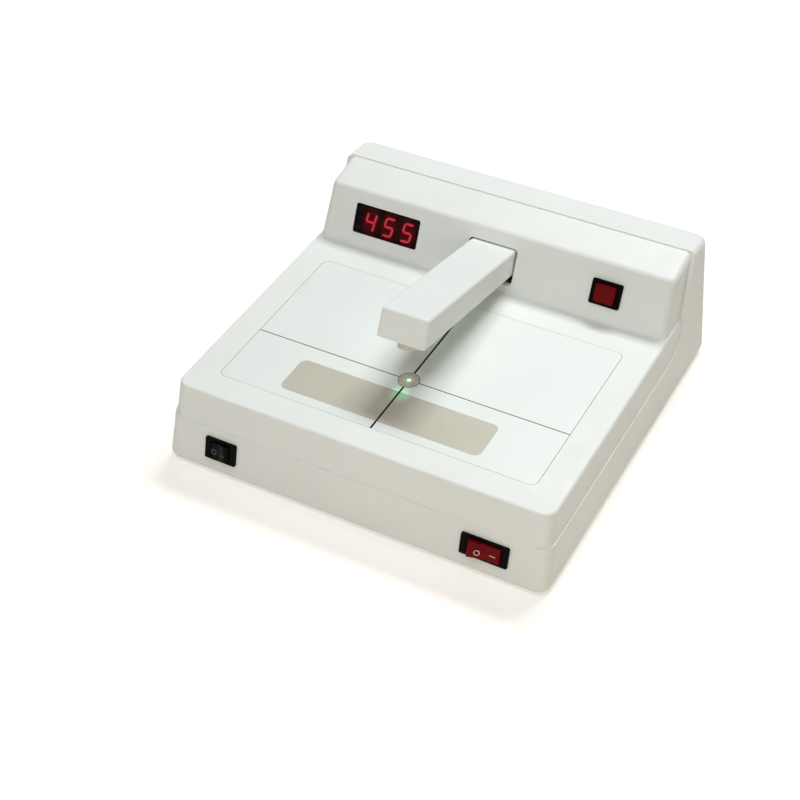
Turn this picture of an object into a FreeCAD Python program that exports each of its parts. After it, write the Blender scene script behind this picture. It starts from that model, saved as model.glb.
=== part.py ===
import FreeCAD, Part
import math
import os
import Sketcher

# Desktop film densitometer. +X is the operator's right, +Y the back, +Z up.
# The origin is the centre of the footprint, on the plane that the rubber feet stand on.
# Every driving size is a cell of the sheet "Sizes", in millimetres or degrees.

SIZES = (
    # housing
    ("foot_stand", 3.0, "height of the shell above the table"),
    ("shell_height", 47.2, "underside of the lower shell to the stage"),
    ("skirt_depth", 19.7, "stage to the parting line"),
    ("wall", 3.0, "wall of both mouldings"),
    ("deck_thickness", 5.0, "deck of the upper cover"),
    ("ledge", 0.8, "how far the lower shell stands proud of the cover"),
    ("front_slope", 14.9, "lean of the front face, degrees"),
    ("rear_draft", 3.0, "lean of the rear face, degrees"),
    ("side_draft", 3.4, "lean of the side faces, degrees"),
    ("corner_radius", 8.0, "plan radius of the housing corners"),
    ("deck_edge_radius", 2.0, "rounding of the deck's edges"),
    ("base_edge_radius", 2.5, "rounding of the underside's edges"),
    ("deck_side_margin", 18.3, "stage plate to the side edge of the deck"),
    ("deck_front_margin", 17.5, "stage plate to the front edge of the deck"),
    ("deck_rear_margin", 21.3, "stage plate to the foot of the console"),
    # console
    ("console_depth", 63.6, "foot of the console to the rear face, at the stage"),
    ("console_rise", 32.5, "stage to the console's front top edge"),
    ("console_tilt", 25.0, "lean of the console face, degrees"),
    ("console_inset", 1.5, "console side inside the deck's side"),
    ("console_side_radius", 5.0, "rounding of the console's front side edges"),
    ("roof_edge_radius", 4.0, "rounding round both roofs"),
    ("console_foot_radius", 4.0, "hollow rounding at the foot of the console"),
    ("roof_run", 24.7, "front top edge to the parting line on the roof"),
    ("roof_pitch", 10.9, "rise of the front roof, degrees"),
    ("rear_roof_drop", 1.9, "fall of the rear roof"),
    ("parting_tilt", 22.0, "lean of the rising parting line, degrees"),
    ("parting_radius", 20.0, "bend of the parting line"),
    # stage
    ("stage_width", 200.0, "stage plate"),
    ("stage_depth", 121.5, "stage plate"),
    ("stage_thickness", 2.5, "stage plate"),
    ("stage_radius", 4.0, "corners of the stage plate"),
    ("stage_gap", 0.3, "gap round the stage plate"),
    ("aperture_setback", 45.0, "front edge of the stage plate to the aperture"),
    ("cross_line_width", 0.6, "crosshair line from side to side"),
    ("centre_line_width", 1.2, "crosshair line from front to back"),
    ("line_depth", 0.3, "crosshair lines"),
    ("panel_width", 127.0, "satin panel"),
    ("panel_depth", 27.5, "satin panel"),
    ("panel_thickness", 0.8, "satin panel"),
    ("panel_radius", 4.5, "corners of the satin panel"),
    ("panel_setback", 11.4, "aperture to the satin panel"),
    ("disc_diameter", 13.2, "aperture disc"),
    ("aperture_diameter", 2.0, "measuring aperture"),
    ("aperture_land", 0.5, "straight part of the measuring aperture"),
    # light source
    ("tube_bore", 10.0, "light tube"),
    ("tube_wall", 2.0, "light tube"),
    ("tube_length", 24.0, "light tube below the deck"),
    ("seat_fit", 0.05, "round the light tube, its lens and the detector window"),
    ("lens_thickness", 3.0, "condenser lens"),
    ("lens_drop", 4.0, "deck's underside to the condenser lens"),
    ("lamp_diameter", 5.0, "lamp"),
    ("lamp_height", 8.6, "lamp above its board"),
    ("lamp_rim", 0.4, "rim round the foot of the lamp"),
    ("board_thickness", 1.6, "every circuit board"),
    ("lamp_board_width", 22.0, "lamp board"),
    # case screws
    ("post_diameter", 9.0, "screw posts of both mouldings"),
    ("post_inset", 20.0, "screw posts from the deck's edges"),
    ("post_rear_gap", 12.0, "rear screw posts to the foot of the console"),
    ("screw_diameter", 3.0, "every screw"),
    ("screw_clearance", 0.2, "round a screw in a plain hole"),
    ("thread_clearance", 0.02, "round a screw in its thread"),
    ("head_diameter", 5.6, "every screw head"),
    ("head_height", 2.2, "every screw head"),
    ("screw_grip", 8.0, "case screw head to the parting line"),
    ("screw_bite", 8.0, "case screw in the cover's post"),
    ("foot_diameter", 16.0, "rubber foot"),
    ("foot_taper", 1.0, "rubber foot, narrower at the table"),
    ("foot_inset", 17.0, "rubber feet from the underside's edges"),
    # arm
    ("pivot_setback", 20.2, "foot of the console to the arm's pivot"),
    ("pivot_rise", 15.0, "stage to the arm's pivot"),
    ("arm_rise", 12.3, "lift of the resting arm, degrees"),
    ("arm_width", 30.0, "arm"),
    ("arm_draft", 1.5, "lean of the arm's sides, degrees"),
    ("arm_above", 7.0, "pivot to the arm's top"),
    ("arm_flare", 0.9, "rise of the arm's top towards the nose, degrees"),
    ("arm_below", 8.2, "pivot to the arm's underside"),
    ("arm_tail", 11.0, "pivot to the arm's rear end"),
    ("arm_wall", 2.0, "arm moulding"),
    ("arm_edge_radius", 1.8, "rounding of the arm's edges"),
    ("nose_overhang", 10.8, "sensor axis to the arm's lower front edge"),
    ("nose_lean", 11.0, "lean of the arm's front, degrees"),
    ("hub_length", 14.0, "solid hub ahead of the pivot"),
    ("arm_cover_thickness", 1.6, "cover under the arm"),
    ("arm_cover_gap", 0.15, "round the cover under the arm"),
    ("slot_gap", 0.6, "arm to the slot's top and sides"),
    ("slot_sill_gap", 3.0, "lowered arm to the slot's sill"),
    ("slot_radius", 2.5, "corners of the arm slot"),
    ("collar_diameter", 12.0, "sensor collar"),
    ("collar_bore", 6.0, "sensor collar"),
    ("collar_flange", 16.0, "flange of the sensor collar"),
    ("collar_flange_thickness", 1.5, "flange of the sensor collar"),
    ("film_gap", 0.3, "lowered sensor collar to the stage"),
    ("window_thickness", 1.2, "detector window"),
    ("diode_diameter", 8.2, "photodiode"),
    ("diode_height", 3.4, "photodiode"),
    ("diode_rim", 0.5, "rim round the foot of the photodiode"),
    # pivot
    ("shaft_diameter", 4.0, "pivot shaft"),
    ("running_clearance", 0.04, "radial clearance of the shaft in its bushes"),
    ("press_clearance", 0.01, "radial clearance of what is pressed on or in"),
    ("bush_diameter", 8.0, "arm bush"),
    ("spring_bay", 12.0, "bay for the spring in the arm's hub"),
    ("cheek_gap", 1.2, "arm to each cheek of the bracket"),
    ("bracket_thickness", 2.0, "steel bracket"),
    ("bracket_depth", 26.0, "foot of the bracket"),
    ("bracket_foot", 9.0, "flange of the bracket beyond each cheek"),
    ("cheek_radius", 6.5, "top of each cheek"),
    ("shaft_end", 2.5, "shaft beyond each cheek"),
    ("clip_diameter", 7.0, "clip on the shaft's end"),
    ("clip_thickness", 0.8, "clip on the shaft's end"),
    ("spring_wire", 1.0, "arm spring"),
    ("spring_bore", 4.8, "arm spring"),
    ("spring_turns", 4.0, "arm spring"),
    ("spring_bar_drop", 15.5, "pivot to the bar that anchors the spring"),
    ("spring_bar_diameter", 3.0, "bar that anchors the spring"),
    # display
    ("display_x", -72.4, "centre of the display window"),
    ("display_climb", 18.0, "centre of the display window, up the face"),
    ("display_width", 45.0, "display window"),
    ("display_height", 19.0, "display window"),
    ("display_radius", 1.5, "corners of the display window"),
    ("filter_gap", 0.1, "filter in its window"),
    ("filter_sink", 0.5, "filter below the console face"),
    ("filter_flange", 3.0, "filter's flange behind the face"),
    ("filter_flange_thickness", 1.5, "filter's flange behind the face"),
    ("digit_pitch", 13.2, "display digits"),
    ("digit_width", 12.6, "display digit module"),
    ("digit_height", 19.0, "display digit module"),
    ("digit_depth", 8.0, "display digit module"),
    ("display_board_width", 66.0, "display board"),
    ("display_board_height", 26.0, "display board"),
    ("spacer_diameter", 5.0, "display board spacer"),
    ("spacer_inset", 3.5, "display board's spacers from its edges"),
    # push button
    ("button_x", 75.7, "centre of the button"),
    ("button_climb", 17.5, "centre of the button, up the face"),
    ("button_bezel_width", 19.1, "button bezel"),
    ("button_bezel_height", 15.3, "button bezel"),
    ("button_cap_width", 12.4, "button cap"),
    ("button_cap_height", 10.8, "button cap"),
    ("button_cap_radius", 1.0, "corners of the button cap"),
    ("button_travel", 2.0, "button"),
    ("button_pressed_proud", 0.6, "pressed button cap above its bezel"),
    ("button_depth", 11.0, "button housing behind the face"),
    ("cap_clearance", 0.25, "button cap in its bezel, each side"),
    ("button_lip", 1.4, "bezel lip that keeps the cap in"),
    ("button_barb", 0.8, "cap's barbs under the bezel lip"),
    ("button_barb_thickness", 1.6, "cap's barbs"),
    ("button_wall", 0.9, "button housing"),
    ("button_floor", 1.2, "button housing"),
    ("button_rest_gap", 0.1, "cap's barbs to the bezel lip"),
    ("button_spring_pocket", 2.5, "spring's pocket in the cap"),
    ("button_spring_turns", 5.0, "button spring"),
    ("button_spring_diameter", 7.0, "button spring"),
    ("button_spring_wire", 0.7, "button spring"),
    # rocker switches
    ("switch_drop", 12.3, "parting line to the switches, down the face"),
    ("bezel_proud", 1.4, "every switch and button bezel above its face"),
    ("bezel_end", 3.8, "rocker bezel beyond its opening, left and right"),
    ("bezel_side", 1.6, "rocker bezel beyond its opening, above and below"),
    ("bezel_overlap", 0.6, "rocker bezel beyond its housing, each side"),
    ("bezel_radius", 1.0, "corners of every bezel"),
    ("cutout_gap", 0.1, "round a housing in its cut-out"),
    ("rocker_clearance", 0.3, "rocker in its housing, each side"),
    ("rocker_swing", 20.0, "rocker, degrees"),
    ("rocker_seat", 2.2, "bezel's top to the rocker's pivot"),
    ("rocker_crown", 1.2, "middle of a rocker above its bezel"),
    ("rocker_below", 3.0, "rocker's underside below its pivot"),
    ("rocker_pin", 2.4, "rocker's pivot pins, diameter"),
    ("rocker_pin_length", 0.9, "rocker's pivot pins beyond its sides"),
    ("left_switch_x", -84.3, "left switch"),
    ("left_switch_width", 20.4, "left switch bezel"),
    ("left_switch_height", 13.8, "left switch bezel"),
    ("power_switch_x", 83.9, "power switch"),
    ("power_switch_width", 28.7, "power switch bezel"),
    ("power_switch_height", 13.1, "power switch bezel"),
    ("switch_depth", 12.0, "switch housing behind its bezel"),
    ("terminal_width", 4.8, "switch and inlet terminals"),
    ("terminal_thickness", 0.8, "switch and inlet terminals"),
    ("terminal_length", 7.0, "switch and inlet terminals"),
    # mains inlet
    ("inlet_x", 72.0, "centre of the inlet"),
    ("inlet_height", 20.0, "centre of the inlet above the underside"),
    ("inlet_width", 31.0, "inlet flange"),
    ("inlet_tall", 23.0, "inlet flange"),
    ("inlet_flange", 2.4, "inlet flange, thickness"),
    ("inlet_rim", 1.8, "inlet flange beyond its cut-out"),
    ("inlet_skin", 1.4, "wall round the socket"),
    ("inlet_cavity", 15.5, "depth of the socket"),
    ("inlet_floor", 3.0, "floor of the socket"),
    ("inlet_boss", 5.0, "thickening of the rear wall behind the inlet"),
    ("blade_width", 2.0, "inlet blade"),
    ("blade_tall", 4.0, "inlet blade"),
    ("blade_length", 12.0, "inlet blade"),
    ("blade_spread", 7.0, "outer blades from the middle"),
    ("blade_offset", 2.0, "blades above and below the middle"),
    # electronics
    ("board_width", 150.0, "main board"),
    ("board_depth", 84.0, "main board"),
    ("board_stand", 6.0, "main board above the floor"),
    ("board_front_gap", 24.0, "inside of the front wall to the main board"),
    ("standoff_diameter", 6.0, "main board standoff"),
    ("standoff_inset", 5.0, "standoffs from the main board's edges"),
    ("core_width", 48.0, "transformer core"),
    ("core_height", 40.0, "transformer core"),
    ("core_stack", 18.0, "transformer core"),
    ("core_leg", 8.0, "outer legs of the transformer core"),
    ("coil_depth", 32.0, "transformer coil"),
    ("transformer_x", -70.0, "centre of the transformer"),
)

# Places and lengths that follow from the driving sizes, as formulas of the sheet "Places".
PLACES = (
    ("stage_z", "Sizes.foot_stand + Sizes.shell_height"),
    ("parting_z", "stage_z - Sizes.skirt_depth"),
    ("floor_z", "Sizes.foot_stand + Sizes.wall"),
    ("deck_under_z", "stage_z - Sizes.deck_thickness"),
    ("deck_half", "Sizes.stage_width / 2 + Sizes.deck_side_margin"),
    (
        "toe_reach",
        "Sizes.shell_height * tan(Sizes.front_slope) + Sizes.ledge"
        " - Sizes.base_edge_radius * (1 / tan(45 - Sizes.front_slope / 2) - 1)",
    ),
    # the raised end of the power rocker: its radius, then its height above the front face
    ("rocker_radius", "Sizes.power_switch_width / 2 - Sizes.bezel_end - Sizes.rocker_clearance"),
    (
        "rocker_lift",
        "rocker_radius * sin(Sizes.rocker_swing * 1 deg + asin((Sizes.rocker_seat"
        " + Sizes.rocker_crown) * cos(Sizes.rocker_swing / 2) / rocker_radius))"
        " + Sizes.bezel_proud - Sizes.rocker_seat",
    ),
    (
        "rocker_reach",
        "Sizes.skirt_depth * tan(Sizes.front_slope) + Sizes.ledge"
        " + rocker_lift * cos(Sizes.front_slope) + (Sizes.switch_drop"
        " + Sizes.power_switch_height / 2 - Sizes.bezel_side - Sizes.rocker_clearance)"
        " * sin(Sizes.front_slope)",
    ),
    ("front_reach", "max(toe_reach; rocker_reach)"),
    (
        "rear_reach",
        "Sizes.shell_height * tan(Sizes.rear_draft) + Sizes.ledge"
        " - Sizes.base_edge_radius * (1 / tan(45 - Sizes.rear_draft / 2) - 1)",
    ),
    (
        "deck_front_y",
        "(front_reach - rear_reach - Sizes.deck_front_margin - Sizes.stage_depth"
        " - Sizes.deck_rear_margin - Sizes.console_depth) / 2",
    ),
    ("stage_front_y", "deck_front_y + Sizes.deck_front_margin"),
    ("stage_rear_y", "stage_front_y + Sizes.stage_depth"),
    ("aperture_y", "stage_front_y + Sizes.aperture_setback"),
    ("console_y", "stage_rear_y + Sizes.deck_rear_margin"),
    ("rear_y", "console_y + Sizes.console_depth"),
    ("face_top_y", "console_y + Sizes.console_rise * tan(Sizes.console_tilt)"),
    ("face_top_z", "stage_z + Sizes.console_rise"),
    ("ridge_y", "face_top_y + Sizes.roof_run"),
    ("ridge_z", "face_top_z + Sizes.roof_run * tan(Sizes.roof_pitch)"),
    ("parting_y", "ridge_y - (ridge_z - parting_z) * tan(Sizes.parting_tilt)"),
    ("deck_parting_y", "ridge_y - (ridge_z - stage_z) * tan(Sizes.parting_tilt)"),
    # where the front wall's outer face meets the parting line and the underside
    ("cover_front_y", "deck_front_y - Sizes.skirt_depth * tan(Sizes.front_slope)"),
    ("shell_front_y", "cover_front_y - Sizes.ledge"),
    ("shell_toe_y", "deck_front_y - Sizes.shell_height * tan(Sizes.front_slope) - Sizes.ledge"),
    ("shell_heel_y", "rear_y + Sizes.shell_height * tan(Sizes.rear_draft) + Sizes.ledge"),
    ("rear_top_z", "ridge_z + Sizes.ledge - Sizes.rear_roof_drop"),
    ("rear_top_y", "rear_y + Sizes.ledge - (rear_top_z - stage_z) * tan(Sizes.rear_draft)"),
    # the arm's pivot and what hangs on it
    ("pivot_y", "console_y + Sizes.pivot_setback"),
    ("pivot_z", "stage_z + Sizes.pivot_rise"),
    ("arm_reach", "pivot_y - aperture_y"),
    ("cheek_x", "Sizes.arm_width / 2 + Sizes.cheek_gap"),
    ("collar_proud", "Sizes.pivot_rise - Sizes.arm_below - Sizes.film_gap"),
)

doc = FreeCAD.newDocument("Densitometer")
NODES = []


def make_sheet(name, rows):
    """A spreadsheet with one meaning, value and alias to a row."""
    sheet = doc.addObject("Spreadsheet::Sheet", name)
    for line, (alias, value, meaning) in enumerate(rows, start=1):
        sheet.set(f"A{line}", meaning)
        sheet.set(f"B{line}", value)
        sheet.setAlias(f"B{line}", alias)
    doc.recompute()
    return sheet


sizes = make_sheet("Sizes", [(alias, str(value), meaning) for alias, value, meaning in SIZES])
places = make_sheet("Places", [(alias, f"={formula}", "worked out") for alias, formula in PLACES])


def number(expression):
    """The value of an expression over the sheets, in millimetres or degrees."""
    result = sizes.evalExpression(str(expression))
    return float(getattr(result, "Value", result))


def bind(thing, **expressions):
    """Ties properties to expressions; two underscores stand for a dot."""
    for name, expression in expressions.items():
        thing.setExpression(name.replace("__", "."), str(expression))
    return thing


def keep(label, thing):
    """Names a sub-part and lists it among those that are written out."""
    thing.Label = label
    NODES.append(thing)
    return thing


def place(thing, x="0", y="0", z="0", lean=None):
    """Puts an object at a point; a lean tips its upright back by that angle about X."""
    angle = number(lean) if lean else 0.0
    start = FreeCAD.Vector(number(x), number(y), number(z))
    thing.Placement = FreeCAD.Placement(start, FreeCAD.Rotation(FreeCAD.Vector(-1, 0, 0), angle))
    bind(thing, Placement__Base__x=x, Placement__Base__y=y, Placement__Base__z=z)
    if lean:
        bind(thing, Placement__Rotation__Angle=lean)
    return thing


def wrap(thing):
    """A shape that has a place of its own keeps it inside a group that can be placed."""
    if not thing.ExpressionEngine:
        return thing
    group = doc.addObject("Part::Compound", "Group")
    group.Links = [thing]
    return group


def on_console(thing):
    """Stands an object on the console face: X along it, Y into it, Z up it from the foot."""
    return place(wrap(thing), "0", "Places.console_y", "Places.stage_z", "Sizes.console_tilt")


def on_front(thing):
    """Stands an object on the lower front face: Y into it, Z up it from the parting line."""
    return place(wrap(thing), "0", "Places.shell_front_y", "Places.parting_z", "Sizes.front_slope")


def on_arm(thing):
    """Hangs an object on the resting arm: the pivot is its origin and -Y runs to the nose."""
    return place(wrap(thing), "0", "Places.pivot_y", "Places.pivot_z", "Sizes.arm_rise")


# ---- solids -----------------------------------------------------------------------------


def box(x, y, z, width, depth, height):
    """A block from its lowest corner."""
    block = doc.addObject("Part::Box", "Block")
    bind(block, Length=width, Width=depth, Height=height)
    return place(block, x, y, z)


def middle_box(x, y, z, width, depth, height):
    """A block centred on x and y that stands on z."""
    return box(f"{x} - ({width}) / 2", f"{y} - ({depth}) / 2", z, width, depth, height)


AXIS_TURNS = {
    "x": FreeCAD.Rotation(FreeCAD.Vector(0, 1, 0), 90),
    "y": FreeCAD.Rotation(FreeCAD.Vector(1, 0, 0), -90),
    "z": FreeCAD.Rotation(),
}


def rod(axis, x, y, z, diameter, length):
    """A round rod that starts at a point and runs along +X, +Y or +Z."""
    cylinder = doc.addObject("Part::Cylinder", "Rod")
    bind(cylinder, Radius=f"({diameter}) / 2", Height=length)
    cylinder.Placement = FreeCAD.Placement(FreeCAD.Vector(), AXIS_TURNS[axis])
    return bind(cylinder, Placement__Base__x=x, Placement__Base__y=y, Placement__Base__z=z)


def fuse(*shapes):
    """One shape of several; those that don't touch stay separate solids."""
    joined = doc.addObject("Part::MultiFuse", "Join")
    joined.Shapes = list(shapes)
    return joined


def cut(base, *tools):
    """What is left of a shape."""
    result = doc.addObject("Part::Cut", "Cut")
    result.Base = base
    result.Tool = tools[0] if len(tools) == 1 else fuse(*tools)
    return result


def common(first, second):
    """What two shapes share."""
    shared = doc.addObject("Part::Common", "Share")
    shared.Base = first
    shared.Tool = second
    return shared


# ---- sketches and features --------------------------------------------------------------


def new_body(name):
    return doc.addObject("PartDesign::Body", name)


def plane_of(body, role):
    return next(plane for plane in body.Origin.OriginFeatures if plane.Role == role)


def new_sketch(body, role, offset="0"):
    """A sketch on an origin plane of its body, moved along the plane's normal."""
    sketch = body.newObject("Sketcher::SketchObject", "Sketch")
    sketch.AttachmentSupport = [(plane_of(body, role), "")]
    sketch.MapMode = "FlatFace"
    return bind(sketch, AttachmentOffset__Base__z=offset)


def dimension(sketch, kind, parts, value):
    """A driving dimension that follows an expression."""
    index = sketch.addConstraint(Sketcher.Constraint(kind, *parts, number(value)))
    sketch.setExpression(f"Constraints[{index}]", str(value))


def pin_point(sketch, geometry, position, x, y):
    """Fixes a point of the sketch by its distances from the sketch's origin."""
    dimension(sketch, "DistanceX", (-1, 1, geometry, position), x)
    dimension(sketch, "DistanceY", (-1, 1, geometry, position), y)


def outline(sketch, corners):
    """A closed outline. A corner is (x, y), or (x, y, radius) where it is rounded."""
    points = [FreeCAD.Vector(number(corner[0]), number(corner[1]), 0) for corner in corners]
    count = len(corners)
    radii = [number(corner[2]) if len(corner) > 2 else 0.0 for corner in corners]
    arrivals, departures, centres = [], [], []
    for index, point in enumerate(points):
        back = (points[index - 1] - point).normalize()
        ahead = (points[(index + 1) % count] - point).normalize()
        half_angle = back.getAngle(ahead) / 2
        reach = radii[index] / math.tan(half_angle)
        arrivals.append(point + back * reach)
        departures.append(point + ahead * reach)
        bisector = (back + ahead).normalize()
        centres.append(point + bisector * (radii[index] / math.sin(half_angle)))
    lines = [
        sketch.addGeometry(Part.LineSegment(departures[i], arrivals[(i + 1) % count]), False)
        for i in range(count)
    ]
    for index, corner in enumerate(corners):
        before, after = lines[index - 1], lines[index]
        if not radii[index]:
            sketch.addConstraint(Sketcher.Constraint("Coincident", before, 2, after, 1))
            pin_point(sketch, after, 1, corner[0], corner[1])
            continue
        start, end = arrivals[index] - centres[index], departures[index] - centres[index]
        turns_left = start.cross(end).z > 0
        first, last = (start, end) if turns_left else (end, start)
        circle = Part.Circle(centres[index], FreeCAD.Vector(0, 0, 1), radii[index])
        angles = [math.atan2(arm.y, arm.x) for arm in (first, last)]
        arc = sketch.addGeometry(Part.ArcOfCircle(circle, *angles), False)
        vertex = sketch.addGeometry(Part.Point(points[index]), True)
        near, far = (1, 2) if turns_left else (2, 1)
        sketch.addConstraint(Sketcher.Constraint("Tangent", before, 2, arc, near))
        sketch.addConstraint(Sketcher.Constraint("Tangent", arc, far, after, 1))
        sketch.addConstraint(Sketcher.Constraint("PointOnObject", vertex, 1, before))
        sketch.addConstraint(Sketcher.Constraint("PointOnObject", vertex, 1, after))
        pin_point(sketch, vertex, 1, corner[0], corner[1])
        dimension(sketch, "Radius", (arc,), corner[2])
    return sketch


def rectangle(sketch, x, y, width, height, radius=None):
    """A rectangle about a centre, with rounded corners where a radius is given."""
    signs = ((-1, -1), (1, -1), (1, 1), (-1, 1))
    spots = [(f"{x} + {i} * ({width}) / 2", f"{y} + {j} * ({height}) / 2") for i, j in signs]
    return outline(sketch, [spot + (radius,) if radius else spot for spot in spots])


def disc(sketch, x, y, diameter):
    """A circle."""
    centre = FreeCAD.Vector(number(x), number(y), 0)
    normal = FreeCAD.Vector(0, 0, 1)
    circle = sketch.addGeometry(Part.Circle(centre, normal, number(diameter) / 2), False)
    pin_point(sketch, circle, 3, x, y)
    dimension(sketch, "Diameter", (circle,), diameter)
    return sketch


def extrude(body, kind, sketch, length, backwards=False, both=False):
    """A Pad or a Pocket of a sketch."""
    feature = body.newObject(f"PartDesign::{kind}", kind)
    feature.Profile = sketch
    feature.Reversed = backwards
    if both:
        feature.SideType = "Symmetric"
    bind(feature, Length=length)
    sketch.Visibility = False
    return feature


def pad(body, sketch, length, backwards=False, both=False):
    return extrude(body, "Pad", sketch, length, backwards, both)


def pocket(body, sketch, length, backwards=False, both=False):
    return extrude(body, "Pocket", sketch, length, backwards, both)


def round_edges(body, radius, wanted):
    """Rounds every edge of the body's last feature that the test wants."""
    doc.recompute()
    base = body.Tip
    names = [f"Edge{i}" for i, edge in enumerate(base.Shape.Edges, start=1) if wanted(edge)]
    fillet = body.newObject("PartDesign::Fillet", "Fillet")
    fillet.Base = (base, names)
    bind(fillet, Radius=radius)
    doc.recompute()
    return fillet


def plate(x, y, width, height, radius, start, thickness, role="XY_Plane"):
    """A plate with rounded corners: it lies on XY from a height, or faces -Y from a depth."""
    body = new_body("Plate")
    upright = role == "XZ_Plane"
    sketch = new_sketch(body, role, f"-({start})" if upright else start)
    rectangle(sketch, x, y, width, height, radius)
    pad(body, sketch, thickness, backwards=upright)
    return body


def middle(edge):
    return edge.CenterOfMass


def runs_up(edge):
    """True for a straight edge that climbs more than it goes sideways."""
    ends = edge.Vertexes
    rise = abs(ends[0].Z - ends[-1].Z)
    return len(ends) == 2 and edge.Curve.TypeId == "Part::GeomLine" and rise > 0.8 * edge.Length


# ---- housing ----------------------------------------------------------------------------


def drafted_form(profile, half_width):
    """A side profile drawn across the housing, with sides that lean in as they rise."""
    body = new_body("Form")
    sketch = outline(new_sketch(body, "YZ_Plane"), profile)
    slab = pad(body, sketch, f"2 * ({half_width})", both=True)
    doc.recompute()
    ends = [
        f"Face{i}"
        for i, face in enumerate(slab.Shape.Faces, start=1)
        if abs(face.normalAt(0, 0).x) > 0.99
    ]
    draft = body.newObject("PartDesign::Draft", "Draft")
    draft.Base = (slab, ends)
    draft.NeutralPlane = (plane_of(body, "XY_Plane"), [""])
    draft.Reversed = False
    bind(draft, Angle="Sizes.side_draft")
    doc.recompute()
    return body


def form_half(at_stage):
    """Half width at the table of a form that has a given half width at the stage."""
    return f"{at_stage} + Places.stage_z * tan(Sizes.side_draft)"


def lower_form():
    """The outer form of the lower shell: a tub in front, the full housing height behind."""
    half = form_half("Places.deck_half + Sizes.ledge")
    lip_y = "Places.ridge_y + Sizes.ledge * tan(Sizes.parting_tilt)"
    profile = [
        ("Places.shell_toe_y", "Sizes.foot_stand"),
        ("Places.shell_front_y", "Places.parting_z"),
        ("Places.parting_y", "Places.parting_z", "Sizes.parting_radius"),
        (lip_y, "Places.ridge_z + Sizes.ledge"),
        ("Places.rear_top_y", "Places.rear_top_z"),
        ("Places.shell_heel_y", "Sizes.foot_stand"),
    ]
    body = drafted_form(profile, half)
    front, ridge, floor = (
        number(f"Places.{name}") for name in ("console_y", "ridge_y", "floor_z")
    )
    parting = number("Places.parting_y + (Places.ridge_z - Places.parting_z) * 0.7")

    def housing_corner(edge):
        y = middle(edge).y
        return runs_up(edge) and (y < front - 60 or y > parting)

    round_edges(body, "Sizes.corner_radius", housing_corner)
    round_edges(body, "Sizes.base_edge_radius", lambda edge: middle(edge).z < floor - 2)
    roof = number("Places.rear_top_z - 1")
    round_edges(
        body,
        "min(Sizes.roof_edge_radius; Sizes.corner_radius - 0.5)",
        lambda edge: middle(edge).z > roof and middle(edge).y > ridge + 3,
    )
    return body


def lower_cavity():
    """The hollow of the lower shell, open along the whole parting line."""
    front_wall = "Sizes.wall / cos(Sizes.front_slope)"
    rear_wall = "Sizes.wall / cos(Sizes.rear_draft)"
    over = "Sizes.wall"
    roof_z = "Places.rear_top_z - Sizes.wall"
    profile = [
        (
            f"Places.shell_toe_y + Sizes.wall * tan(Sizes.front_slope) + {front_wall}",
            "Places.floor_z",
        ),
        (
            f"Places.shell_front_y + {over} * tan(Sizes.front_slope) + {front_wall}",
            f"Places.parting_z + {over}",
        ),
        ("Places.parting_y - 2 * Sizes.parting_radius", f"Places.parting_z + {over}"),
        ("Places.ridge_y - Sizes.parting_radius", roof_z),
        (f"Places.rear_top_y - {rear_wall} + Sizes.wall * tan(Sizes.rear_draft)", roof_z),
        (
            f"Places.shell_heel_y - {rear_wall} - Sizes.wall * tan(Sizes.rear_draft)",
            "Places.floor_z",
        ),
    ]
    body = drafted_form(profile, form_half("Places.deck_half + Sizes.ledge - Sizes.wall"))
    front, rear = number("Places.console_y - 60"), number("Places.ridge_y + 5")
    round_edges(
        body,
        "Sizes.corner_radius - Sizes.wall",
        lambda edge: runs_up(edge) and not front < middle(edge).y < rear,
    )
    return body


POST_X = "Places.deck_half - Sizes.post_inset"
FRONT_POST_Y = "Places.deck_front_y + Sizes.post_inset"
REAR_POST_Y = "Places.console_y - Sizes.post_rear_gap"
POST_SPOTS = [(side, y) for side in ("-1", "1") for y in (FRONT_POST_Y, REAR_POST_Y)]
HEAD_SEAT_Z = "Places.parting_z - Sizes.screw_grip"
PLAIN_HOLE = "Sizes.screw_diameter + 2 * Sizes.screw_clearance"
THREAD_HOLE = "Sizes.screw_diameter + 2 * Sizes.thread_clearance"
EMBED = "Sizes.wall / 2"


def at_posts(make):
    """One thing at each of the four case screws."""
    return [make(f"{side} * ({POST_X})", y) for side, y in POST_SPOTS]


INLET_Z = "Sizes.foot_stand + Sizes.inlet_height"
INLET_FACE_Y = (
    "Places.shell_heel_y - (Sizes.inlet_height + Sizes.inlet_tall / 2) * tan(Sizes.rear_draft)"
)
INLET_SEAT_Y = f"{INLET_FACE_Y} - Sizes.inlet_flange"
INLET_BODY_WIDTH = "Sizes.inlet_width - 2 * Sizes.inlet_rim"
INLET_BODY_TALL = "Sizes.inlet_tall - 2 * Sizes.inlet_rim"


def facing_back(x, z, width, height, depth_from, depth):
    """A block on the rear wall, centred on x and z, from a y forwards to a smaller y."""
    return box(
        f"{x} - ({width}) / 2",
        f"{depth_from} - ({depth})",
        f"{z} - ({height}) / 2",
        width,
        depth,
        height,
    )


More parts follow.
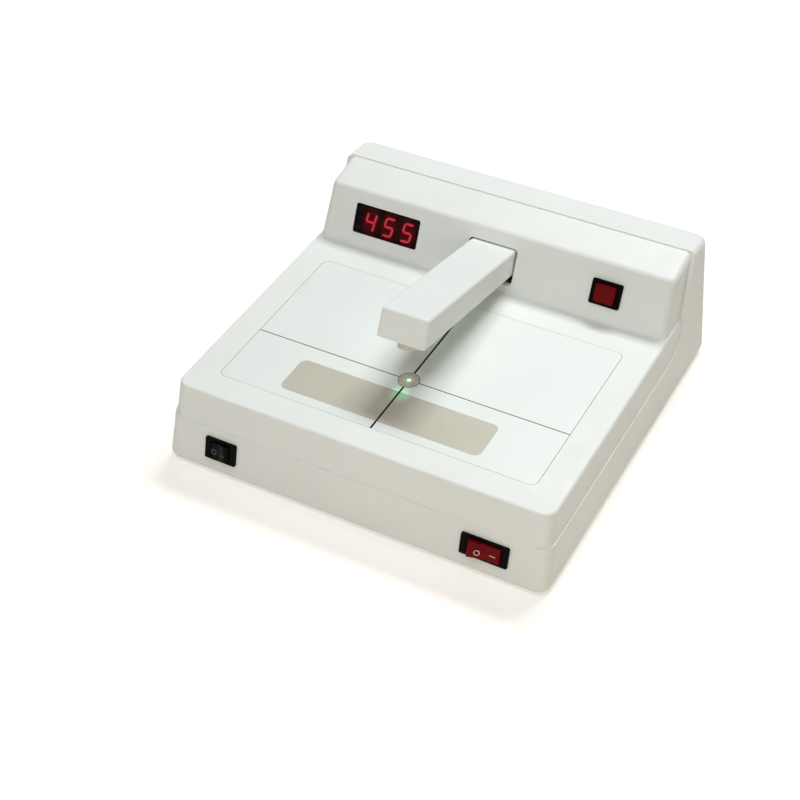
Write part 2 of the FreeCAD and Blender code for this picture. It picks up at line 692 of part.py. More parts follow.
def make_lower_shell(switch_holes, bracket_holes):
    """The tub: floor, walls, rear half of the console, posts and the inlet's boss."""
    posts = at_posts(
        lambda x, y: rod(
            "z",
            x,
            y,
            f"Places.floor_z - {EMBED}",
            "Sizes.post_diameter",
            f"Places.parting_z - Places.floor_z + {EMBED}",
        )
    )
    boss = facing_back(
        "Sizes.inlet_x",
        INLET_Z,
        "Sizes.inlet_width + 2 * Sizes.wall",
        "Sizes.inlet_tall + 2 * Sizes.wall",
        f"{INLET_SEAT_Y} + Sizes.inlet_flange / 3",
        "Sizes.inlet_boss + Sizes.wall",
    )
    standoffs = at_standoffs(
        lambda x, y: rod(
            "z",
            x,
            y,
            f"Places.floor_z - {EMBED}",
            "Sizes.standoff_diameter",
            f"Sizes.board_stand + {EMBED}",
        )
    )
    hollow = cut(lower_form(), lower_cavity())
    built_up = fuse(hollow, boss, *posts, *standoffs)
    shafts = at_posts(
        lambda x, y: rod("z", x, y, "0", PLAIN_HOLE, "Places.parting_z + Sizes.wall")
    )
    wells = at_posts(
        lambda x, y: rod(
            "z", x, y, "0", "Sizes.head_diameter + 4 * Sizes.screw_clearance", HEAD_SEAT_Z
        )
    )
    recess = facing_back(
        "Sizes.inlet_x",
        INLET_Z,
        "Sizes.inlet_width + 2 * Sizes.cutout_gap",
        "Sizes.inlet_tall + 2 * Sizes.cutout_gap",
        "Places.shell_heel_y",
        f"Places.shell_heel_y - ({INLET_SEAT_Y})",
    )
    window = facing_back(
        "Sizes.inlet_x",
        INLET_Z,
        f"{INLET_BODY_WIDTH} + 2 * Sizes.cutout_gap",
        f"{INLET_BODY_TALL} + 2 * Sizes.cutout_gap",
        "Places.shell_heel_y",
        "Sizes.inlet_boss * 4",
    )
    pilots = at_standoffs(
        lambda x, y: rod("z", x, y, "Places.floor_z", THREAD_HOLE, "Sizes.board_stand * 2")
    )
    tools = shafts + wells + [recess, window] + pilots + switch_holes + bracket_holes
    return keep("lower_shell", cut(built_up, *tools))


def deck_form():
    """The low front part of the upper cover, with rounded edges."""
    half = form_half("Places.deck_half")
    profile = [
        ("Places.cover_front_y", "Places.parting_z"),
        ("Places.deck_front_y", "Places.stage_z"),
        ("Places.deck_parting_y", "Places.stage_z"),
        ("Places.parting_y", "Places.parting_z", "Sizes.parting_radius"),
    ]
    body = drafted_form(profile, half)
    front, stage = number("Places.deck_front_y"), number("Places.stage_z")
    round_edges(body, "Sizes.corner_radius", lambda e: runs_up(e) and middle(e).y < front + 5)
    rear = number("Places.deck_parting_y")
    round_edges(
        body,
        "min(Sizes.deck_edge_radius; Sizes.corner_radius / 2)",
        lambda e: middle(e).z > stage - 0.01 and middle(e).y < rear - 0.01,
    )
    return body


CONSOLE_HALF = "Places.deck_half - Sizes.console_inset"


def console_form():
    """The front half of the console, from inside the deck up to the parting line."""
    sunk = "Sizes.deck_thickness / 2"
    profile = [
        (
            f"Places.console_y - {sunk} * tan(Sizes.console_tilt)",
            f"Places.stage_z - {sunk}",
        ),
        ("Places.face_top_y", "Places.face_top_z"),
        ("Places.ridge_y", "Places.ridge_z"),
        (
            f"Places.deck_parting_y - {sunk} * tan(Sizes.parting_tilt)",
            f"Places.stage_z - {sunk}",
        ),
    ]
    body = drafted_form(profile, form_half(CONSOLE_HALF))
    face_y, top_z = number("Places.face_top_y"), number("Places.face_top_z")
    ridge_y = number("Places.ridge_y")
    round_edges(
        body,
        "Sizes.console_side_radius",
        lambda e: runs_up(e) and middle(e).y < face_y and abs(middle(e).x) > 1,
    )
    round_edges(
        body,
        "min(Sizes.roof_edge_radius; Sizes.console_side_radius - 0.5)",
        lambda e: middle(e).z > top_z - 1 and middle(e).y < ridge_y - 1,
    )
    return body


def console_foot():
    """The hollow rounding between the deck and the console face."""
    body = new_body("Foot")
    reach = "Sizes.console_foot_radius / tan(45 + Sizes.console_tilt / 2)"
    past = f"({reach} + 1)"
    deep = "Sizes.wall / 2"
    back = f"Places.console_y + {past} * sin(Sizes.console_tilt) + {deep}"
    profile = [
        (f"Places.console_y - {past}", f"Places.stage_z - {deep}"),
        (f"Places.console_y - {past}", "Places.stage_z"),
        ("Places.console_y", "Places.stage_z", "Sizes.console_foot_radius"),
        (
            f"Places.console_y + {past} * sin(Sizes.console_tilt)",
            f"Places.stage_z + {past} * cos(Sizes.console_tilt)",
        ),
        (back, f"Places.stage_z + {past} * cos(Sizes.console_tilt) - {deep}"),
        (back, f"Places.stage_z - {deep}"),
    ]
    sketch = outline(new_sketch(body, "YZ_Plane"), profile)
    pad(body, sketch, f"2 * ({CONSOLE_HALF} - Sizes.console_side_radius)", both=True)
    return body


def cover_cavity():
    """The hollow of the upper cover, open along the parting line."""
    face_wall = "Sizes.wall / cos(Sizes.console_tilt)"
    front_wall = "Sizes.wall / cos(Sizes.front_slope)"
    spread = "Sizes.wall / (1 + sin(Sizes.console_tilt + Sizes.roof_pitch))"
    beyond = "Sizes.roof_run"
    under = "Places.parting_z - Sizes.wall"
    profile = [
        (
            f"Places.cover_front_y + {front_wall} - Sizes.wall * tan(Sizes.front_slope)",
            under,
        ),
        (
            f"Places.deck_front_y + {front_wall} - Sizes.deck_thickness * tan(Sizes.front_slope)",
            "Places.deck_under_z",
        ),
        (
            f"Places.console_y + {face_wall} - Sizes.deck_thickness * tan(Sizes.console_tilt)",
            "Places.deck_under_z",
        ),
        (
            f"Places.face_top_y + {spread} * (cos(Sizes.console_tilt) + sin(Sizes.roof_pitch))",
            f"Places.face_top_z - {spread} * (sin(Sizes.console_tilt) + cos(Sizes.roof_pitch))",
        ),
        (
            f"Places.ridge_y + {beyond}",
            f"Places.ridge_z + {beyond} * tan(Sizes.roof_pitch)"
            " - Sizes.wall / cos(Sizes.roof_pitch)",
        ),
        (f"Places.ridge_y + {beyond}", under),
    ]
    return drafted_form(profile, form_half(f"{CONSOLE_HALF} - Sizes.wall"))


STAGE_Y = "Places.stage_front_y + Sizes.stage_depth / 2"
TUBE_OUTER = "Sizes.tube_bore + 2 * Sizes.tube_wall"
# the slot's roof follows the top of the resting arm
SLOT_LEAN = "tan(Sizes.arm_rise + Sizes.arm_flare)"
SLOT_TOP = (
    "((Sizes.pivot_rise + Sizes.arm_above * cos(Sizes.arm_rise)"
    f" + (Sizes.pivot_setback + Sizes.arm_above * sin(Sizes.arm_rise)) * {SLOT_LEAN}"
    f" + Sizes.slot_gap) / (1 + tan(Sizes.console_tilt) * {SLOT_LEAN}))"
)
SLOT_SILL = "(Sizes.pivot_rise - Sizes.arm_below - Sizes.slot_sill_gap)"


def make_upper_cover(console_holes):
    """The deck, skirt and front half of the console in one moulding."""
    outside = fuse(deck_form(), console_form(), console_foot())
    shell = cut(outside, cover_cavity())
    posts = at_posts(
        lambda x, y: rod(
            "z",
            x,
            y,
            "Places.parting_z",
            "Sizes.post_diameter",
            f"Places.deck_under_z - Places.parting_z + {EMBED}",
        )
    )
    socket_depth = "Sizes.tube_length / 4"
    socket = rod(
        "z",
        "0",
        "Places.aperture_y",
        f"Places.deck_under_z - {socket_depth}",
        f"{TUBE_OUTER} + 2 * Sizes.tube_wall",
        f"{socket_depth} + {EMBED}",
    )
    built_up = fuse(shell, socket, *posts)
    gap = "2 * Sizes.stage_gap"
    recess = plate(
        "0",
        STAGE_Y,
        f"Sizes.stage_width + {gap}",
        f"Sizes.stage_depth + {gap}",
        "Sizes.stage_radius + Sizes.stage_gap",
        "Places.stage_z - Sizes.stage_thickness",
        "Sizes.stage_thickness * 2",
    )
    light_hole = rod(
        "z", "0", "Places.aperture_y", "Places.parting_z", "Sizes.tube_bore", "Sizes.skirt_depth"
    )
    tube_seat = rod(
        "z",
        "0",
        "Places.aperture_y",
        "Places.parting_z",
        f"{TUBE_OUTER} + 2 * Sizes.seat_fit",
        "Places.deck_under_z - Places.parting_z",
    )
    pilots = at_posts(
        lambda x, y: rod(
            "z",
            x,
            y,
            "Places.parting_z - Sizes.wall",
            THREAD_HOLE,
            "Sizes.wall + Sizes.screw_bite + Sizes.screw_clearance",
        )
    )
    slot_height = f"({SLOT_TOP} - {SLOT_SILL})"
    slot = plate(
        "0",
        f"Places.stage_z + {SLOT_SILL} + {slot_height} / 2",
        "2 * Places.cheek_x",
        slot_height,
        "Sizes.slot_radius",
        "Places.console_y",
        "Sizes.pivot_setback",
        role="XZ_Plane",
    )
    tools = [recess, light_hole, tube_seat, slot] + pilots + console_holes
    return keep("upper_cover", cut(built_up, *tools))


# ---- stage ------------------------------------------------------------------------------


def cross_lines():
    """The two lines that meet at the aperture, as bars flush with the stage."""
    low = "Places.stage_z - Sizes.line_depth"
    across = box(
        "-Sizes.stage_width / 2",
        "Places.aperture_y - Sizes.cross_line_width / 2",
        low,
        "Sizes.stage_width",
        "Sizes.cross_line_width",
        "Sizes.line_depth",
    )
    along = box(
        "-Sizes.centre_line_width / 2",
        "Places.stage_front_y",
        low,
        "Sizes.centre_line_width",
        "Sizes.stage_depth",
        "Sizes.line_depth",
    )
    return fuse(across, along)


def disc_rod(z, height):
    return rod("z", "0", "Places.aperture_y", z, "Sizes.disc_diameter", height)


def make_stage():
    """The stage plate, its satin panel, the crosshair and the aperture disc."""
    low = "Places.stage_z - Sizes.stage_thickness"
    blank = plate(
        "0", STAGE_Y, "Sizes.stage_width", "Sizes.stage_depth", "Sizes.stage_radius", low,
        "Sizes.stage_thickness",
    )
    panel_y = "Places.aperture_y - Sizes.panel_setback - Sizes.panel_depth / 2"

    def panel_slab(height):
        return plate(
            "0", panel_y, "Sizes.panel_width", "Sizes.panel_depth", "Sizes.panel_radius",
            "Places.stage_z - Sizes.panel_thickness", height,
        )

    bore = disc_rod("Places.parting_z", "Sizes.skirt_depth * 2")
    keep("stage_plate", cut(blank, panel_slab("Sizes.stage_thickness"), bore, cross_lines()))
    keep("blank_panel", cut(panel_slab("Sizes.panel_thickness"), cross_lines()))
    keep("crosshair", cut(cross_lines(), disc_rod("Places.parting_z", "Sizes.skirt_depth * 2")))
    whole = disc_rod(low, "Sizes.stage_thickness")
    pinhole = rod(
        "z", "0", "Places.aperture_y", low, "Sizes.aperture_diameter", "Sizes.stage_thickness * 2"
    )
    funnel = doc.addObject("Part::Cone", "Funnel")
    bind(
        funnel,
        Height="Sizes.stage_thickness - Sizes.aperture_land",
        Radius1="Sizes.aperture_diameter / 2 + Sizes.stage_thickness - Sizes.aperture_land",
        Radius2="Sizes.aperture_diameter / 2",
    )
    place(funnel, "0", "Places.aperture_y", low)
    keep("aperture_disc", cut(whole, pinhole, funnel))


def make_light_source():
    """The light tube under the aperture, with its lens, lamp and lamp board."""
    top, x, y = "Places.deck_under_z", "0", "Places.aperture_y"
    foot = f"{top} - Sizes.tube_length"
    lens_z = f"({top} - Sizes.lens_drop - Sizes.lens_thickness)"
    tube = rod("z", x, y, foot, TUBE_OUTER, "Sizes.tube_length")
    upper_bore = rod(
        "z", x, y, lens_z, "Sizes.tube_bore", "Sizes.lens_drop + Sizes.lens_thickness"
    )
    lower_bore = rod("z", x, y, foot, "Sizes.tube_bore - Sizes.tube_wall", "Sizes.tube_length")
    keep("light_tube", cut(tube, upper_bore, lower_bore))
    glass = rod(
        "z", x, y, lens_z, f"Sizes.tube_bore - 2 * Sizes.seat_fit", "Sizes.lens_thickness"
    )
    ball = doc.addObject("Part::Sphere", "Ball")
    bind(ball, Radius="Sizes.tube_bore")
    place(ball, x, y, f"{lens_z} + Sizes.lens_thickness - Sizes.tube_bore")
    keep("condenser_lens", common(glass, ball))
    board_width = "Sizes.lamp_board_width"
    keep(
        "lamp_board",
        middle_box(
            x, y, f"{foot} - Sizes.board_thickness", board_width, board_width,
            "Sizes.board_thickness",
        ),
    )
    stem = rod(
        "z", x, y, foot, "Sizes.lamp_diameter", "Sizes.lamp_height - Sizes.lamp_diameter / 2"
    )
    rim = rod("z", x, y, foot, "Sizes.lamp_diameter + 2 * Sizes.lamp_rim", "Sizes.lamp_diameter / 5")
    dome = doc.addObject("Part::Sphere", "Dome")
    bind(dome, Radius="Sizes.lamp_diameter / 2")
    place(dome, x, y, f"{foot} + Sizes.lamp_height - Sizes.lamp_diameter / 2")
    keep("lamp", fuse(stem, rim, dome))


# ---- sensor arm (drawn level, with its pivot at the origin and its nose at -Y) -----------

NOSE_Y = "(-Places.arm_reach - Sizes.nose_overhang)"
ARM_HEIGHT = "(Sizes.arm_above + Sizes.arm_below)"
NOSE_WALL = "Sizes.arm_wall / cos(Sizes.nose_lean)"
ARM_FLOOR = "(-Sizes.arm_below)"
COVER_TOP = "(-Sizes.arm_below + Sizes.arm_cover_thickness)"
COVER_FRONT = f"({NOSE_Y} + Sizes.arm_wall)"
COVER_REAR = "(-Sizes.hub_length / 2)"
COVER_WIDTH = "(Sizes.arm_width - Sizes.arm_wall)"
ARM_SCREW_X = "(Sizes.arm_width / 4)"
ARM_SCREW_Y = "(-Sizes.hub_length * 0.75)"
SPRING_RADIUS = "((Sizes.spring_bore + Sizes.spring_wire) / 2)"
BAY_ROOF = f"({SPRING_RADIUS} + Sizes.spring_wire / 2 + Sizes.arm_cover_gap)"
COLLAR_TIP = "(-Sizes.arm_below - Places.collar_proud)"
COLLAR_TOP = f"({COVER_TOP} + Sizes.collar_flange_thickness)"


def arm_top(y):
    """Height of the arm's top, which rises towards the nose, above the pivot."""
    return f"(Sizes.arm_above - ({y}) * tan(Sizes.arm_flare))"


def nose_corner(foot_y, drop="0"):
    """Where a front that leans back from foot_y meets the arm's top, or a roof below it."""
    reach = f"({foot_y} + ({ARM_HEIGHT} - {drop}) * tan(Sizes.nose_lean))"
    corner_y = f"({reach} / (1 + tan(Sizes.nose_lean) * tan(Sizes.arm_flare)))"
    return corner_y, f"({arm_top(corner_y)} - {drop})"


def arm_form():
    """The arm's outer form, with a leaning nose, drawn-in sides and rounded upper edges."""
    body = new_body("ArmForm")
    highest = arm_top(NOSE_Y)
    low_half = "(Sizes.arm_width / 2 + Sizes.arm_below * tan(Sizes.arm_draft))"
    high_half = f"(Sizes.arm_width / 2 - {highest} * tan(Sizes.arm_draft))"
    section = [
        (f"-{low_half}", ARM_FLOOR),
        (low_half, ARM_FLOOR),
        (high_half, highest),
        (f"-{high_half}", highest),
    ]
    sketch = outline(new_sketch(body, "XZ_Plane", f"-({NOSE_Y})"), section)
    pad(body, sketch, f"Sizes.arm_tail - {NOSE_Y}", backwards=True)
    over = "Sizes.arm_wall"
    behind = f"(Sizes.arm_tail + {over})"
    above = f"({highest} + {over})"
    waste = [
        (f"{NOSE_Y} - {over}", ARM_FLOOR),
        (NOSE_Y, ARM_FLOOR),
        nose_corner(NOSE_Y),
        (behind, arm_top(behind)),
        (behind, above),
        (f"{NOSE_Y} - {over}", above),
    ]
    sketch = outline(new_sketch(body, "YZ_Plane"), waste)
    pocket(body, sketch, "2 * Sizes.arm_width", both=True)
    tail, floor = number("Sizes.arm_tail"), number(ARM_FLOOR)
    round_edges(
        body,
        "Sizes.arm_edge_radius",
        lambda e: middle(e).y < tail - 0.1 and middle(e).z > floor + 0.1,
    )
    return body


def make_arm_housing():
    """The arm's moulding: a hollow beam with a solid hub that is bored for the bushes."""
    cavity = new_body("Cavity")
    inner_foot = f"({NOSE_Y} + {NOSE_WALL})"
    profile = [
        (inner_foot, ARM_FLOOR),
        nose_corner(inner_foot, "Sizes.arm_wall"),
        ("-Sizes.hub_length", f"{arm_top('-Sizes.hub_length')} - Sizes.arm_wall"),
        ("-Sizes.hub_length", ARM_FLOOR),
    ]
    sketch = outline(new_sketch(cavity, "YZ_Plane"), profile)
    draft_room = f"2 * {ARM_HEIGHT} * tan(Sizes.arm_draft)"
    pad(cavity, sketch, f"Sizes.arm_width - 2 * Sizes.arm_wall - {draft_room}", both=True)
    gap = "Sizes.arm_cover_gap"
    rebate = box(
        f"-({COVER_WIDTH} / 2 + {gap})",
        f"{COVER_FRONT} - {gap}",
        f"{ARM_FLOOR} - Sizes.arm_wall",
        f"{COVER_WIDTH} + 2 * {gap}",
        f"{COVER_REAR} - {COVER_FRONT} + 2 * {gap}",
        "Sizes.arm_wall + Sizes.arm_cover_thickness",
    )
    bay = box(
        "-Sizes.spring_bay / 2",
        "-Sizes.hub_length - Sizes.arm_wall",
        f"{ARM_FLOOR} - Sizes.arm_wall",
        "Sizes.spring_bay",
        "Sizes.hub_length + Sizes.arm_tail + 2 * Sizes.arm_wall",
        f"{BAY_ROOF} + Sizes.arm_below + Sizes.arm_wall",
    )
    bore = rod("x", "-Sizes.arm_width", "0", "0", "Sizes.bush_diameter", "2 * Sizes.arm_width")
    pilots = [
        rod("z", f"{side} * {ARM_SCREW_X}", ARM_SCREW_Y, COVER_TOP, THREAD_HOLE, "Sizes.arm_below")
        for side in ("-1", "1")
    ]
    return keep("arm_housing", on_arm(cut(arm_form(), cavity, rebate, bay, bore, *pilots)))


def make_arm_cover():
    """The plate that closes the arm from below, with the hole for the collar."""
    blank = box(
        f"-{COVER_WIDTH} / 2",
        COVER_FRONT,
        ARM_FLOOR,
        COVER_WIDTH,
        f"{COVER_REAR} - {COVER_FRONT}",
        "Sizes.arm_cover_thickness",
    )
    collar_hole = rod(
        "z",
        "0",
        "-Places.arm_reach",
        f"{ARM_FLOOR} - Sizes.arm_wall",
        "Sizes.collar_diameter + 2 * Sizes.cutout_gap",
        "Sizes.arm_wall * 3",
    )
    screw_holes = [
        rod(
            "z",
            f"{side} * {ARM_SCREW_X}",
            ARM_SCREW_Y,
            f"{ARM_FLOOR} - Sizes.arm_wall",
            PLAIN_HOLE,
            "Sizes.arm_wall * 3",
        )
        for side in ("-1", "1")
    ]
    bay_notch = box(
        "-Sizes.spring_bay / 2",
        "-Sizes.hub_length - Sizes.arm_wall",
        f"{ARM_FLOOR} - Sizes.arm_wall",
        "Sizes.spring_bay",
        "Sizes.hub_length + Sizes.arm_wall",
        "Sizes.arm_wall * 3",
    )
    keep("arm_bottom_cover", on_arm(cut(blank, collar_hole, bay_notch, *screw_holes)))
    screws = []
    for side in ("-1", "1"):
        x = f"{side} * {ARM_SCREW_X}"
        shank_z = f"{ARM_FLOOR}"
        head_z = f"{ARM_FLOOR} - Sizes.head_height"
        screws.append(rod("z", x, ARM_SCREW_Y, head_z, "Sizes.head_diameter", "Sizes.head_height"))
        screws.append(
            rod("z", x, ARM_SCREW_Y, shank_z, "Sizes.screw_diameter", "Sizes.arm_below * 0.75")
        )
    keep("arm_screws", on_arm(fuse(*screws)))


def on_sensor(thing):
    """Puts an object on the sensor's axis; its Z runs up the axis from the pivot's level."""
    return place(
        wrap(thing),
        "0",
        "Places.pivot_y - Places.arm_reach * cos(Sizes.arm_rise)",
        "Places.pivot_z + Places.arm_reach * sin(Sizes.arm_rise)",
        "Sizes.arm_rise",
    )


def make_sensor():
    """The collar under the nose, its window, the photodiode and its board."""
    land = "Sizes.collar_flange_thickness / 2"
    wide_bore = "(Sizes.collar_bore + Sizes.arm_wall)"
    tube = rod("z", "0", "0", COLLAR_TIP, "Sizes.collar_diameter", f"{COLLAR_TOP} - {COLLAR_TIP}")
    flange = rod("z", "0", "0", COVER_TOP, "Sizes.collar_flange", "Sizes.collar_flange_thickness")
    through = rod("z", "0", "0", f"{COLLAR_TIP} - 1", "Sizes.collar_bore", ARM_HEIGHT)
    upper = rod("z", "0", "0", f"{COLLAR_TIP} + {land}", wide_bore, ARM_HEIGHT)
    keep("sensor_collar", on_sensor(cut(fuse(tube, flange), through, upper)))
    glass = rod(
        "z", "0", "0", f"{COLLAR_TIP} + {land}", f"{wide_bore} - 2 * Sizes.seat_fit",
        "Sizes.window_thickness",
    )
    keep("detector_window", on_sensor(glass))
    can = rod("z", "0", "0", COLLAR_TOP, "Sizes.diode_diameter", "Sizes.diode_height")
    rim_diameter = "Sizes.diode_diameter + 2 * Sizes.diode_rim"
    rim = rod("z", "0", "0", COLLAR_TOP, rim_diameter, "Sizes.diode_height / 5")
    keep("photodiode", on_sensor(fuse(can, rim)))
    board = middle_box(
        "0",
        "Sizes.nose_overhang / 4",
        f"{COLLAR_TOP} + Sizes.diode_height",
        "Sizes.arm_width * 0.7",
        "Sizes.nose_overhang * 1.6",
        "Sizes.board_thickness",
    )
    keep("detector_board", on_sensor(board))


def make_bushes():
    """Two brass bushes in the arm's hub, one each side of the spring."""
    bush_length = "(Sizes.arm_width - Sizes.spring_bay) / 2"
    bushes = []
    for start in ("-Sizes.arm_width / 2", "Sizes.spring_bay / 2"):
        outer = rod("x", start, "0", "0", "Sizes.bush_diameter - 2 * Sizes.press_clearance", bush_length)
        bore = rod(
            "x",
            start,
            "0",
            "0",
            "Sizes.shaft_diameter + 2 * Sizes.running_clearance",
            bush_length,
        )
        bushes.append(cut(outer, bore))
    keep("arm_bushes", on_arm(fuse(*bushes)))


# ---- arm bracket, pivot and spring -------------------------------------------------------

CHEEK_OUT = "(Places.cheek_x + Sizes.bracket_thickness)"
FLANGE_X = "(Places.cheek_x + Sizes.bracket_thickness + Sizes.bracket_foot / 2)"
BAR_OUT = f"({SPRING_RADIUS} + (Sizes.spring_wire + Sizes.spring_bar_diameter) / 2 + Sizes.seat_fit)"
BAR_Y = (
    f"Places.pivot_y + {BAR_OUT} * cos(Sizes.arm_rise)"
    " - Sizes.spring_bar_drop * sin(Sizes.arm_rise)"
)
BAR_Z = (
    f"Places.pivot_z - {BAR_OUT} * sin(Sizes.arm_rise)"
    " - Sizes.spring_bar_drop * cos(Sizes.arm_rise)"
)


def bracket_screw_rods(z, diameter, length):
    return [
        rod("z", f"{side} * {FLANGE_X}", "Places.pivot_y", z, diameter, length)
        for side in ("-1", "1")
    ]


def make_bracket():
    """The steel bracket that carries the arm: a foot on the floor and two tall cheeks."""
    body = new_body("Cheeks")
    half = "Sizes.bracket_depth / 2"
    top = "Places.pivot_z + Sizes.cheek_radius"
    nearly = "Sizes.cheek_radius * 0.9"
    profile = [
        (f"Places.pivot_y - {half}", "Places.floor_z"),
        ("Places.pivot_y - Sizes.cheek_radius", top, nearly),
        ("Places.pivot_y + Sizes.cheek_radius", top, nearly),
        (f"Places.pivot_y + {half}", "Places.floor_z"),
    ]
    sketch = outline(new_sketch(body, "YZ_Plane"), profile)
    pad(body, sketch, f"2 * {CHEEK_OUT}", both=True)
    between = box(
        "-Places.cheek_x",
        f"Places.pivot_y - {half} * 2",
        "Places.floor_z",
        "2 * Places.cheek_x",
        f"{half} * 4",
        "2 * Places.pivot_z",
    )
    foot = box(
        f"-({CHEEK_OUT} + Sizes.bracket_foot)",
        f"Places.pivot_y - {half}",
        "Places.floor_z",
        f"2 * ({CHEEK_OUT} + Sizes.bracket_foot)",
        "Sizes.bracket_depth",
        "Sizes.bracket_thickness",
    )
    bar = rod(
        "x", f"-{CHEEK_OUT}", BAR_Y, BAR_Z, "Sizes.spring_bar_diameter", f"2 * {CHEEK_OUT}"
    )
    shaft_hole = rod(
        "x",
        f"-{CHEEK_OUT} * 2",
        "Places.pivot_y",
        "Places.pivot_z",
        "Sizes.shaft_diameter + 2 * Sizes.press_clearance",
        f"{CHEEK_OUT} * 4",
    )
    frame = fuse(cut(body, between), foot, bar)
    holes = bracket_screw_rods("0", PLAIN_HOLE, "Places.pivot_z")
    keep("arm_bracket", cut(frame, shaft_hole, *holes))
    shanks = bracket_screw_rods(
        f"Places.floor_z - {EMBED}",
        "Sizes.screw_diameter",
        f"Sizes.bracket_thickness + {EMBED}",
    )
    heads = bracket_screw_rods(
        "Places.floor_z + Sizes.bracket_thickness", "Sizes.head_diameter", "Sizes.head_height"
    )
    keep("bracket_screws", fuse(*shanks, *heads))
    return bracket_screw_rods(f"Places.floor_z - {EMBED}", THREAD_HOLE, EMBED)


def make_shaft():
    """The pivot shaft through both cheeks, and the clips on its ends."""
    end_x = f"({CHEEK_OUT} + Sizes.shaft_end)"
    keep(
        "pivot_shaft",
        rod(
            "x", f"-{end_x}", "Places.pivot_y", "Places.pivot_z", "Sizes.shaft_diameter",
            f"2 * {end_x}",
        ),
    )
    clips = []
    for start in (CHEEK_OUT, f"(-{CHEEK_OUT} - Sizes.clip_thickness)"):
        spot = (start, "Places.pivot_y", "Places.pivot_z")
        ring = rod("x", *spot, "Sizes.clip_diameter", "Sizes.clip_thickness")
        bore = rod("x", *spot, "Sizes.shaft_diameter + 2 * Sizes.press_clearance", "Sizes.clip_thickness")
        clips.append(cut(ring, bore))
    keep("shaft_clips", fuse(*clips))


def make_arm_spring():
    """A torsion spring round the shaft: one leg on the bracket's bar, one under the hub."""
    body = new_body("ArmSpring")
    pitch = "(Sizes.spring_wire * 1.15)"
    start_x = f"(-Sizes.spring_turns * {pitch} / 2)"
    sketch = disc(new_sketch(body, "XY_Plane"), start_x, SPRING_RADIUS, "Sizes.spring_wire")
    helix = body.newObject("PartDesign::AdditiveHelix", "Coil")
    helix.Profile = sketch
    helix.ReferenceAxis = (plane_of(body, "X_Axis"), [""])
    helix.Mode = "pitch-turns-angle"
    bind(helix, Pitch=pitch, Turns="Sizes.spring_turns")
    leg_length = f"(Sizes.spring_bar_drop + Sizes.spring_bar_diameter)"
    leg = rod("z", start_x, SPRING_RADIUS, f"-{leg_length}", "Sizes.spring_wire", leg_length)
    hook = rod(
        "y",
        f"-{start_x}",
        "-Sizes.hub_length",
        SPRING_RADIUS,
        "Sizes.spring_wire",
        f"Sizes.hub_length + {SPRING_RADIUS}",
    )
    keep("arm_spring", on_arm(fuse(body, leg, hook)))


# ---- display (drawn on the console face) ------------------------------------------------

DISPLAY = ("Sizes.display_x", "Sizes.display_climb")
FLANGE_Y = "Sizes.wall"
DIGIT_Y = "(Sizes.wall + Sizes.filter_flange_thickness)"
DISPLAY_BOARD_Y = f"({DIGIT_Y} + Sizes.digit_depth)"


def face_plate(centre, width, height, radius, start, thickness):
    """A rounded plate parallel to the face it is drawn on."""
    return plate(*centre, width, height, radius, start, thickness, role="XZ_Plane")


def face_box(centre, width, height, start, depth):
    """A block centred on a spot of the face, from a depth inwards."""
    x, z = centre
    return box(f"{x} - ({width}) / 2", start, f"{z} - ({height}) / 2", width, depth, height)


def display_spots():
    """The centres of the display board's four spacers."""
    reach_x = "(Sizes.display_board_width / 2 - Sizes.spacer_inset)"
    reach_z = "(Sizes.display_board_height / 2 - Sizes.spacer_inset)"
    x, z = DISPLAY
    return [(f"{x} + {i} * {reach_x}", f"{z} + {k} * {reach_z}") for i in (-1, 1) for k in (-1, 1)]


def make_display():
    """The dark window, three digit modules, their board and its spacers."""
    window = face_plate(
        DISPLAY, "Sizes.display_width", "Sizes.display_height", "Sizes.display_radius",
        "-Sizes.wall", "3 * Sizes.wall",
    )
    shrink = "2 * Sizes.filter_gap"
    plug = face_plate(
        DISPLAY,
        f"Sizes.display_width - {shrink}",
        f"Sizes.display_height - {shrink}",
        "Sizes.display_radius - Sizes.filter_gap",
        "Sizes.filter_sink",
        "Sizes.wall - Sizes.filter_sink",
    )
    grow = "2 * Sizes.filter_flange"
    flange = face_plate(
        DISPLAY,
        f"Sizes.display_width + {grow}",
        f"Sizes.display_height + {grow}",
        "Sizes.display_radius",
        FLANGE_Y,
        "Sizes.filter_flange_thickness",
    )
    keep("display_filter", on_console(fuse(plug, flange)))
    digits = [
        face_box(
            (f"{DISPLAY[0]} + {step} * Sizes.digit_pitch", DISPLAY[1]),
            "Sizes.digit_width",
            "Sizes.digit_height",
            DIGIT_Y,
            "Sizes.digit_depth",
        )
        for step in (-1, 0, 1)
    ]
    keep("digit_modules", on_console(fuse(*digits)))
    board = face_box(
        DISPLAY, "Sizes.display_board_width", "Sizes.display_board_height", DISPLAY_BOARD_Y,
        "Sizes.board_thickness",
    )
    keep("display_board", on_console(board))
    spacers = [
        rod("y", x, FLANGE_Y, z, "Sizes.spacer_diameter", f"{DISPLAY_BOARD_Y} - {FLANGE_Y}")
        for x, z in display_spots()
    ]
    keep("display_spacers", on_console(fuse(*spacers)))
    return on_console(window)


# ---- push button (drawn on the console face) --------------------------------------------

BUTTON = ("Sizes.button_x", "Sizes.button_climb")
BEZEL_TOP = "(-Sizes.bezel_proud)"


